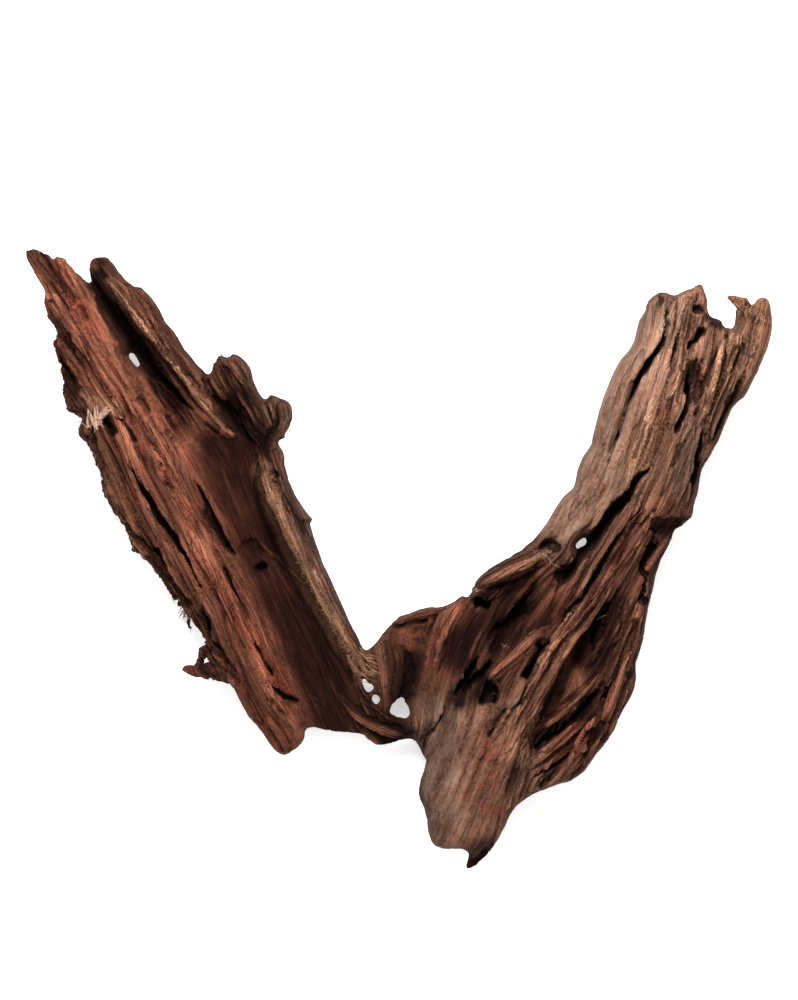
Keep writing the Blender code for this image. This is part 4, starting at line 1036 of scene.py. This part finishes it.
# Height above the gauge surface: the finish paints shade where it is low and highlight where it is high.
proud = (places[:, 2] / MM - gauge_surface(px, py, 2)) / PROUD_SPAN
proud = np.where(proud < 0.0, proud * (0.15 + 0.85 * inland), proud)
give_mark(fork.data, "proud", np.where(normals[:, 2] > -0.3, np.clip(0.5 + proud, 0.0, 1.0), 0.45))
sandy = 1.0 - 0.95 * zone_strength("russet", px, py)
past_edge = px - ROOT_EDGE[0] - (py - ROOT_EDGE[1]) * 0.5
give_mark(fork.data, "root", eased(past_edge / 40.0) * sandy)
for name in ZONES:
    give_mark(fork.data, name, zone_strength(name, px, py) * eased(normals[:, 2] * 1.5 + 0.75))


# Finish of the wood
# Dry, dull wood: red-brown heart on the limb, greyer and sandier on the root, streaked along the
# grain. Painted shade makes it near black in the splits, fibre gaps and low hollow and dims low
# places; painted highlight makes high places and ribs pale, partly where they are rubbed. No
# varnish, so no gloss.
def shade(red, green, blue):
    """A colour as read on a screen, as the shader wants it."""
    return (*(((v / 255.0 + 0.055) / 1.055) ** 2.4 for v in (red, green, blue)), 1.0)


HEART_RED = shade(126, 79, 60)
HEART_DEEP = shade(52, 23, 15)
ROOT_SAND = shade(138, 98, 78)
ROOT_BROWN = shade(58, 28, 19)
BLEACHED = shade(134, 107, 91)
BLEACHED_DEEP = shade(68, 50, 41)
FRAYED_TAN = shade(146, 106, 80)
# Painted shade for the low hollow and the recesses.
HOLLOW_SHADE = shade(32, 9, 6)
OCHRE = shade(112, 72, 46)
EMBER = shade(136, 72, 52)
RUST = shade(132, 60, 42)
# Painted shade inside splits, fibre gaps and fine cracks.
SPLIT_SHADE = shade(24, 8, 6)


class Finish:
    """A material's node tree, with short calls to add and join nodes."""

    def __init__(self, name):
        self.material = bpy.data.materials.new(name)
        self.material.use_nodes = True
        self.tree = self.material.node_tree
        self.shader = self.tree.nodes["Principled BSDF"]

    def node(self, kind, inputs=None, **settings):
        made = self.tree.nodes.new(kind)
        for setting, value in settings.items():
            setattr(made, setting, value)
        for socket, value in (inputs or {}).items():
            self.feed(made.inputs[socket], value)
        return made

    def feed(self, socket, value):
        if isinstance(value, bpy.types.NodeSocket):
            self.tree.links.new(value, socket)
        else:
            socket.default_value = value

    def mark(self, name):
        return self.node("ShaderNodeAttribute", attribute_name=name).outputs["Fac"]

    def maths(self, operation, first, second=0.0):
        return self.node("ShaderNodeMath", {0: first, 1: second}, operation=operation).outputs[0]

    def mixed_values(self, share, first, second):
        inputs = {0: share, 2: first, 3: second}
        return self.node("ShaderNodeMix", inputs, data_type="FLOAT").outputs[0]

    def ranged(self, value, low, high, to_low=0.0, to_high=1.0):
        inputs = {"Value": value, "From Min": low, "From Max": high, "To Min": to_low, "To Max": to_high}
        return self.node("ShaderNodeMapRange", inputs).outputs["Result"]

    def mixed(self, share, first, second, blend="MIX"):
        made = self.node("ShaderNodeMix", data_type="RGBA", blend_type=blend)
        self.feed(made.inputs[0], share)
        self.feed(made.inputs[6], first)
        self.feed(made.inputs[7], second)
        return made.outputs[2]

    def grain(self):
        return self.node("ShaderNodeAttribute", attribute_name="grain").outputs["Vector"]

    def noise(self, place, detail=3.0, rough=0.6):
        inputs = {"Vector": place, "Scale": 1.0, "Detail": detail, "Roughness": rough}
        return self.node("ShaderNodeTexNoise", inputs).outputs["Fac"]

    def streaks(self, long, wide, detail=4.0, rough=0.6, shift=0.0):
        """Noise drawn out along the grain, with its sizes in millimetres."""
        scale = (1.0 / long, 1.0 / wide, 1.0 / wide)
        laid = {"Vector": self.grain(), "Scale": scale, "Location": (shift, shift, shift)}
        return self.noise(self.node("ShaderNodeMapping", laid).outputs[0], detail, rough)

    def fibres(self, axis, long, wide, shift):
        """Single fibres: a tone of its own for each, and how near a place is to its edge."""
        parts = self.node("ShaderNodeSeparateXYZ", {0: self.grain()})
        wander = self.maths("MULTIPLY", self.streaks(long, wide * 6, 0.0, 0.5, shift), 4.0)
        phase = self.maths("ADD", self.maths("DIVIDE", parts.outputs[axis], wide), wander)
        fibre = self.maths("FLOOR", phase)
        place = self.node("ShaderNodeCombineXYZ", {
            0: self.maths("MULTIPLY", parts.outputs[0], 2.0 / long),
            1: self.maths("MULTIPLY", fibre, 7.31),
            2: self.maths("MULTIPLY", fibre, 3.17),
        })
        tone = self.noise(place.outputs[0], 1.0)
        edge = self.maths("ABSOLUTE", self.maths("SUBTRACT", self.maths("FRACT", phase), 0.5))
        return tone, edge

    def fibres_all_round(self, long, wide, shift):
        """Fibres across the flat of the wood, turned on its walls to run along them."""
        flat_tone, flat_edge = self.fibres(1, long, wide, shift)
        wall_tone, wall_edge = self.fibres(2, long, wide, shift + 1.7)
        wall = self.mark("wall")
        tone = self.mixed_values(wall, flat_tone, wall_tone)
        return tone, self.mixed_values(wall, flat_edge, wall_edge)


def weathered_wood():
    wood = Finish("weathered_wood")
    fine_tone, fine_edge = wood.fibres_all_round(26.0, 0.7, 3.0)
    wide_tone, wide_edge = wood.fibres_all_round(50.0, 1.9, 8.0)
    hair = wood.streaks(12.0, 0.5, 3.0, 0.7, 5.0)
    patch = wood.streaks(45.0, 9.0, 4.0, 0.6, 23.0)
    grit = wood.streaks(1.5, 0.9, 3.0, 0.75, 31.0)
    mottle = wood.streaks(14.0, 6.0, 5.0, 0.7, 41.0)
    rough_skin = wood.mark("rough")

    def weighed(*shares):
        total = 0.0
        for share, pattern in shares:
            total = wood.maths("ADD", total, wood.maths("MULTIPLY", pattern, share))
        return total

    def laid_over(colour, name, over, pattern, low, high, least, most):
        share = wood.maths("MULTIPLY", wood.mark(name), wood.ranged(pattern, low, high, least, most))
        return wood.mixed(share, colour, over)

    proud = wood.mark("proud")
    # Low places, where the painted shade goes.
    low_in_shade = wood.ranged(proud, 0.55, 0.8, 1.0, 0.15)
    streaky = weighed((0.35, fine_tone), (0.35, wide_tone), (0.3, hair))
    even = weighed((0.75, mottle), (0.75, wood.streaks(2.2, 1.6, 6.0, 0.8, 67.0)), (-0.25, 1.0))
    streaky = wood.mixed_values(rough_skin, even, streaky)
    # Grain tone, with a painted highlight on higher ribs and painted shade in the gaps between them.
    tone_and_rib_light = weighed((0.8, streaky), (0.25, grit), (0.3, wood.mark("rise")))
    light = wood.ranged(tone_and_rib_light, 0.52, 0.76)
    limb = wood.mixed(light, HEART_DEEP, HEART_RED)
    trunk = wood.mixed(light, ROOT_BROWN, ROOT_SAND)
    colour = wood.mixed(wood.mark("root"), limb, trunk)
    colour = laid_over(colour, "ember", EMBER, mottle, 0.45, 0.6, 0.0, 0.6)
    colour = laid_over(colour, "ochre", OCHRE, grit, 0.45, 0.6, 0.0, 0.75)
    bleached = wood.mixed(light, BLEACHED_DEEP, BLEACHED)
    colour = laid_over(colour, "grey", bleached, mottle, 0.4, 0.6, 0.15, 0.85)
    colour = laid_over(colour, "tan", FRAYED_TAN, grit, 0.4, 0.6, 0.2, 0.95)
    colour = laid_over(colour, "rust", RUST, grit, 0.4, 0.6, 0.1, 0.6)
    # Painted shade: the low hollow and recesses made near black.
    recess_shade_share = wood.maths("MULTIPLY", wood.mark("recess_shade"), low_in_shade)
    recess_shade_share = wood.maths("MULTIPLY", recess_shade_share, wood.ranged(fine_tone, 0.3, 0.7, 1.0, 0.85))
    recess_shade_share = wood.maths("MULTIPLY", recess_shade_share, wood.ranged(wood.mark("tan"), 0.0, 0.8, 1.0, 0.1))
    colour = wood.mixed(recess_shade_share, colour, HOLLOW_SHADE)
    # Painted shade that dims the low places of its zones.
    dim_shade_factor = wood.maths("MULTIPLY", wood.mark("dim_shade"), wood.ranged(proud, 0.55, 0.8, 1.0, 0.45))
    dim_shade_factor = wood.ranged(dim_shade_factor, 0.0, 1.0, 1.0, 0.6)
    # Painted shade on low places and painted highlight on high ones.
    shadowed = wood.ranged(proud, 0.05, 0.45, 0.45, 1.0)
    lit = wood.maths("MULTIPLY", shadowed, wood.ranged(proud, 0.5, 0.9, 1.0, 1.4))
    # Paler and darker patches of wood, and ridges made paler, partly by wear and partly as painted
    # highlight.
    worn_and_lit = wood.ranged(patch, 0.35, 0.65, 0.84, 1.12)
    worn_and_lit = wood.maths("MULTIPLY", worn_and_lit, wood.ranged(wood.mark("rubbed_and_lit"), 0.0, 1.0, 1.0, 1.55))
    fine_seam = wood.ranged(fine_edge, 0.34, 0.5, 0.0, 0.65)
    wide_seam = wood.ranged(wide_edge, 0.4, 0.5, 0.0, 0.8)
    seams = wood.maths("MULTIPLY", wood.maths("MAXIMUM", fine_seam, wide_seam), rough_skin)
    # All the dimming, multiplied into the colour: painted shade and highlight, pale and dark patches,
    # fibre seams.
    shading_and_tone = wood.maths("MULTIPLY", wood.maths("MULTIPLY", dim_shade_factor, worn_and_lit), wood.maths("SUBTRACT", 1.0, seams))
    shading_and_tone = wood.maths("MULTIPLY", shading_and_tone, lit)
    grey_shading_and_tone = wood.node("ShaderNodeCombineColor", {0: shading_and_tone, 1: shading_and_tone, 2: shading_and_tone}).outputs[0]
    colour = wood.mixed(1.0, colour, grey_shading_and_tone, "MULTIPLY")
    # Painted shade: near black in fibre gaps, fine cracks and deep splits.
    colour = wood.mixed(wood.ranged(wood.mark("gap_shade"), 0.35, 0.9, 0.0, 0.8), colour, SPLIT_SHADE)
    flecks = wood.ranged(wood.streaks(8.0, 0.6, 2.0, 0.5, 57.0), 0.62, 0.68, 0.0, 0.7)
    colour = wood.mixed(wood.maths("MULTIPLY", flecks, rough_skin), colour, SPLIT_SHADE)
    colour = wood.mixed(wood.ranged(wood.mark("pit"), 0.25, 0.95, 0.0, 0.85), colour, SPLIT_SHADE)
    wood.feed(wood.shader.inputs["Base Color"], colour)
    wood.feed(wood.shader.inputs["Roughness"], wood.ranged(hair, 0.3, 0.7, 0.72, 0.95))
    wood.shader.inputs["Specular IOR Level"].default_value = 0.06

    relief = weighed((0.8, fine_tone), (-0.8, fine_edge), (1.2, wide_tone), (-1.0, wide_edge), (0.9, grit))
    relief = wood.maths("MULTIPLY", relief, rough_skin)
    relief = weighed((1.0, relief), (1.6, wood.maths("MULTIPLY", grit, wood.mark("crumb"))), (0.5, grit))
    bump = wood.node("ShaderNodeBump", {"Strength": 1.0, "Distance": 0.0013, "Height": relief})
    wood.feed(wood.shader.inputs["Normal"], bump.outputs[0])
    return wood.material


wood_finish = weathered_wood()


# Lengths of the two limbs
# The fork is cut across the grain into five closed lengths that stay face to face, so each keeps
# enough faces for its fibres. A cut is two places on its line; a length lies to one side of it.
NECK = ((364, 649), (415, 740))
LIMB_CUT = ((60, 560), (330, 450))
FAN_CUT = ((360, 745), (720, 640))
CROWN_CUT = ((500, 500), (760, 575))
LENGTH_FACES = 198000


def length_of_wood(name, *cuts):
    shape = bmesh.new()
    shape.from_mesh(fork.data)
    for (first, second), keep in cuts:
        first_point = Vector((*plan(*first), 0.0))
        run = Vector((*plan(*second), 0.0)) - first_point
        cut = bmesh.ops.bisect_plane(
            shape,
            geom=shape.verts[:] + shape.edges[:] + shape.faces[:],
            dist=1e-7,
            plane_co=first_point,
            plane_no=Vector((-run.y, run.x, 0.0)).normalized(),
            clear_outer=keep == "right",
            clear_inner=keep == "left",
        )
        rim = [item for item in cut["geom_cut"] if isinstance(item, bmesh.types.BMEdge)]
        bmesh.ops.holes_fill(shape, edges=rim, sides=0)
        for edge in rim:
            edge.smooth = False
    piece = as_piece(shape, name)
    triangles = sum(len(face.vertices) - 2 for face in piece.data.polygons)
    if triangles > LENGTH_FACES:
        apply_modifier(piece, "DECIMATE", ratio=LENGTH_FACES / triangles)
    for face in piece.data.polygons:
        face.use_smooth = True
    piece.data.materials.clear()
    piece.data.materials.append(wood_finish)
    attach(piece, "root")
    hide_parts("driftwood")


length_of_wood("hollow_limb_end", (NECK, "right"), (LIMB_CUT, "left"))
length_of_wood("hollow_limb_foot", (NECK, "right"), (LIMB_CUT, "right"))
length_of_wood("root_foot", (NECK, "left"), (FAN_CUT, "right"))
length_of_wood("root_fan", (NECK, "left"), (FAN_CUT, "left"), (CROWN_CUT, "right"))
length_of_wood("root_crown", (NECK, "left"), (CROWN_CUT, "left"))


# Frayed fibres
# Where the wood has torn, single fibres stand off it: a whitish tuft at the break of the outer
# layer, tan fuzz along the inner rim of the hollow, brown hairs down the torn prong, and splinters.
PALE_FIBRE = shade(170, 136, 118)
TAN_FIBRE = shade(176, 130, 98)
BROWN_FIBRE = shade(92, 58, 42)

# Count, reach across the run in pixels, length and thickness in millimetres, heading and splay in
# degrees clockwise from image right, rise in millimetres, and the places of the run
PALE_RUNS = [
    (9, 4, 16.0, 2.3, -99, 10, 2.6, [(87, 424), (95, 428), (104, 426)]),
    (4, 1, 16.0, 3.0, -43, 3, 2.8, [(101, 420), (104, 418)]),
    (9, 5, 10.0, 0.7, -92, 22, 2.0, [(86, 426), (96, 430), (107, 426)]),
    (6, 4, 6.0, 0.5, 100, 22, 1.6, [(90, 424), (102, 427)]),
    (16, 5, 8.0, 0.32, 40, 50, 2.0, [(534, 548), (542, 550), (550, 558)]),
    (4, 2, 8.0, 0.5, -20, 14, 1.0, [(470, 591), (473, 590)]),
    (5, 2, 8.0, 0.8, 228, 10, 0.6, [(732, 311), (735, 309)]),
    (4, 2, 15.0, 0.3, 98, 7, 1.0, [(519, 738), (522, 752)]),
    (6, 2, 14.0, 0.42, 97, 8, 1.2, [(702, 386), (703, 392)]),
    (7, 3, 7.0, 0.35, 150, 40, 1.4, [(606, 604), (600, 616)]),
    (6, 3, 6.0, 0.4, 160, 40, 1.4, [(566, 568), (560, 576)]),
]
TAN_RUNS = [
    (560, 5, 3.6, 0.25, 155, 18, 0.7, [
        (271, 472), (283, 510), (296, 543), (309, 574), (324, 602), (338, 628), (352, 650), (366, 676),
    ]),
    (5, 4, 9.0, 0.28, 140, 30, 0.8, [(508, 640), (512, 650)]),
    (44, 6, 8.0, 0.4, 24, 18, 2.0, [(362, 648), (368, 662), (364, 676)]),
    (150, 7, 5.0, 0.3, 62, 16, 0.8, [(92, 452), (106, 492), (124, 530), (146, 566), (176, 606)]),
    (40, 4, 5.0, 0.3, 100, 40, 1.2, [(684, 357), (700, 353)]),
    (26, 8, 5.0, 0.3, 110, 26, 1.0, [(668, 412), (686, 430), (672, 446)]),
    (24, 7, 5.0, 0.3, 108, 26, 1.0, [(728, 336), (731, 356), (734, 374)]),
    (30, 7, 4.0, 0.3, -60, 40, 1.2, [(738, 305), (760, 305)]),
]
BROWN_RUNS = [
    (150, 9, 9.0, 0.3, 55, 14, 1.0, [(134, 292), (152, 314), (170, 336), (184, 358)]),
    (90, 6, 6.5, 0.32, -70, 34, 1.6, [(212, 368), (222, 362), (236, 362)]),
    (50, 6, 6.0, 0.32, 64, 14, 0.8, [(92, 440), (104, 500), (130, 548), (160, 590), (192, 628)]),
    (36, 4, 11.0, 0.4, 96, 16, 1.0, [(186, 606), (192, 612)]),
    (40, 6, 8.0, 0.32, 55, 14, 1.0, [(276, 650), (300, 690), (312, 706)]),
    (60, 8, 8.0, 0.34, 118, 16, 1.0, [(600, 640), (580, 690), (560, 720), (540, 750)]),
]
FIBRE_POINTS = 5
FIBRE_LENGTHS = (0.5, 1.2)
FIBRE_LIFTS = (0.3, 1.2)
FIBRE_ROOT = 0.0006
FIBRE_STEP = 0.0008
LOOK_DOWN_FROM = 0.2


def along_run(points, share):
    """A place and the rest of the run at a share of its length."""
    line = np.array(points, float)
    lengths = np.hypot(*np.diff(line, axis=0).T)
    reached = np.append(0.0, np.cumsum(lengths)) / lengths.sum()
    return np.interp(share, reached, line[:, 0]), np.interp(share, reached, line[:, 1])


def height_of_wood(x, y):
    met, place, _, _ = fork.ray_cast((x, y, LOOK_DOWN_FROM), (0.0, 0.0, -1.0))
    return place.z if met else None


def frayed_fibres(name, colour, runs, seed):
    draw = np.random.default_rng(seed)
    curve = round_curve(name, MM, 0)
    for count, reach, long, thick, heading, splay, rise, points in runs:
        for _ in range(count):
            px, py = along_run(points, draw.uniform())
            x, y = plan(px + draw.uniform(-reach, reach), py + draw.uniform(-reach, reach))
            ground = height_of_wood(x, y)
            if ground is None:
                continue
            turn = math.radians(heading + draw.normal() * splay)
            bend = draw.normal() * math.radians(splay)
            reach_out = long * MM * draw.uniform(*FIBRE_LENGTHS)
            lift = rise * MM * draw.uniform(*FIBRE_LIFTS)
            spline = curve.splines.new("POLY")
            spline.points.add(FIBRE_POINTS - 1)
            z = ground - FIBRE_ROOT
            for number, point in enumerate(spline.points):
                share = number / (FIBRE_POINTS - 1)
                arched = z + lift * math.sin(share * 2.4)
                point.co = (x, y, min(arched, cad_box[1][2] - MM), 1.0)
                point.radius = thick / 2 * (1.0 - 0.8 * share * share)
                turn += bend / FIBRE_POINTS
                x += math.cos(turn) * reach_out / FIBRE_POINTS
                y -= math.sin(turn) * reach_out / FIBRE_POINTS
                here = height_of_wood(x, y)
                if here is not None:
                    z = min(max(z - FIBRE_STEP, here - 0.0002), z + FIBRE_STEP)
    piece = put_in_scene(name, curve)
    only_selected(piece)
    bpy.ops.object.convert(target="MESH")
    fibre = Finish(name)
    place = fibre.node("ShaderNodeTexCoord").outputs["Object"]
    speckle = fibre.node("ShaderNodeTexNoise", {"Vector": place, "Scale": 900.0, "Detail": 2.0})
    light = fibre.ranged(speckle.outputs["Fac"], 0.35, 0.65)
    deep = tuple(0.4 * part for part in colour[:3]) + (1.0,)
    fibre.feed(fibre.shader.inputs["Base Color"], fibre.mixed(light, deep, colour))
    fibre.shader.inputs["Roughness"].default_value = 0.85
    fibre.shader.inputs["Specular IOR Level"].default_value = 0.1
    piece.data.materials.append(fibre.material)
    piece.data.shade_smooth()
    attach(piece, "root")
    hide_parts("driftwood")


frayed_fibres("torn_tuft_fibres", PALE_FIBRE, PALE_RUNS, 71)
frayed_fibres("tan_rim_fibres", TAN_FIBRE, TAN_RUNS, 72)
frayed_fibres("brown_fibres", BROWN_FIBRE, BROWN_RUNS, 73)
bpy.data.objects.remove(fork, do_unlink=True)


# Floor
# A plain pale board, wide enough to fill the view, that the wood lies on, faintly lit from below
# so that daylight shows in the holes.
FLOOR_SIZE = 6.0
FLOOR_GLOW = 0.4


def pale_floor():
    shape = bmesh.new()
    bmesh.ops.create_grid(shape, x_segments=1, y_segments=1, size=FLOOR_SIZE / 2)
    floor = as_piece(shape, "floor")
    paint = Finish("pale_floor")
    paint.shader.inputs["Base Color"].default_value = (0.95, 0.95, 0.95, 1.0)
    paint.shader.inputs["Roughness"].default_value = 0.9
    paint.shader.inputs["Emission Color"].default_value = (1.0, 1.0, 1.0, 1.0)
    paint.shader.inputs["Emission Strength"].default_value = FLOOR_GLOW
    floor.data.materials.append(paint.material)


pale_floor()


# Light
# Soft studio light: a pale surround, and one lamp above the open side of the fork. It looks into
# the hollow of the limb from the right and along the root from the left, and draws the ribs.
LAMP_AIM = (0.0, 0.0, 0.03)
SURROUND = 1.05


def lamp(name, place, size, power):
    light = bpy.data.lights.new(name, "AREA")
    light.shape = "DISK"
    light.size = size
    light.energy = power
    holder = put_in_scene(name, light)
    holder.location = place
    holder.rotation_euler = (Vector(LAMP_AIM) - Vector(place)).to_track_quat("-Z", "Y").to_euler()


world = bpy.data.worlds.new("studio")
world.use_nodes = True
surround = world.node_tree.nodes["Background"].inputs
surround["Color"].default_value = (1.0, 1.0, 1.0, 1.0)
surround["Strength"].default_value = SURROUND
bpy.context.scene.world = world
lamp("key", place=(-0.05, 0.55, 1.05), size=0.5, power=22.5)
bpy.context.scene.view_settings.view_transform = "Standard"


# Camera
# Straight above, far off, so that a pixel covers the same length all over the wood.
LENS = 135.0
SENSOR = 36.0
IMAGE = (798, 1000)
MID_HEIGHT = 0.030

camera_data = bpy.data.cameras.new("from_above")
camera_data.lens = LENS
camera_data.sensor_width = SENSOR
camera_data.clip_end = 20.0
camera = put_in_scene("from_above", camera_data)
camera_height = PIXEL * IMAGE[1] * LENS / SENSOR + MID_HEIGHT
camera.location = (*plan(IMAGE[0] / 2, IMAGE[1] / 2), camera_height)
bpy.context.scene.camera = camera
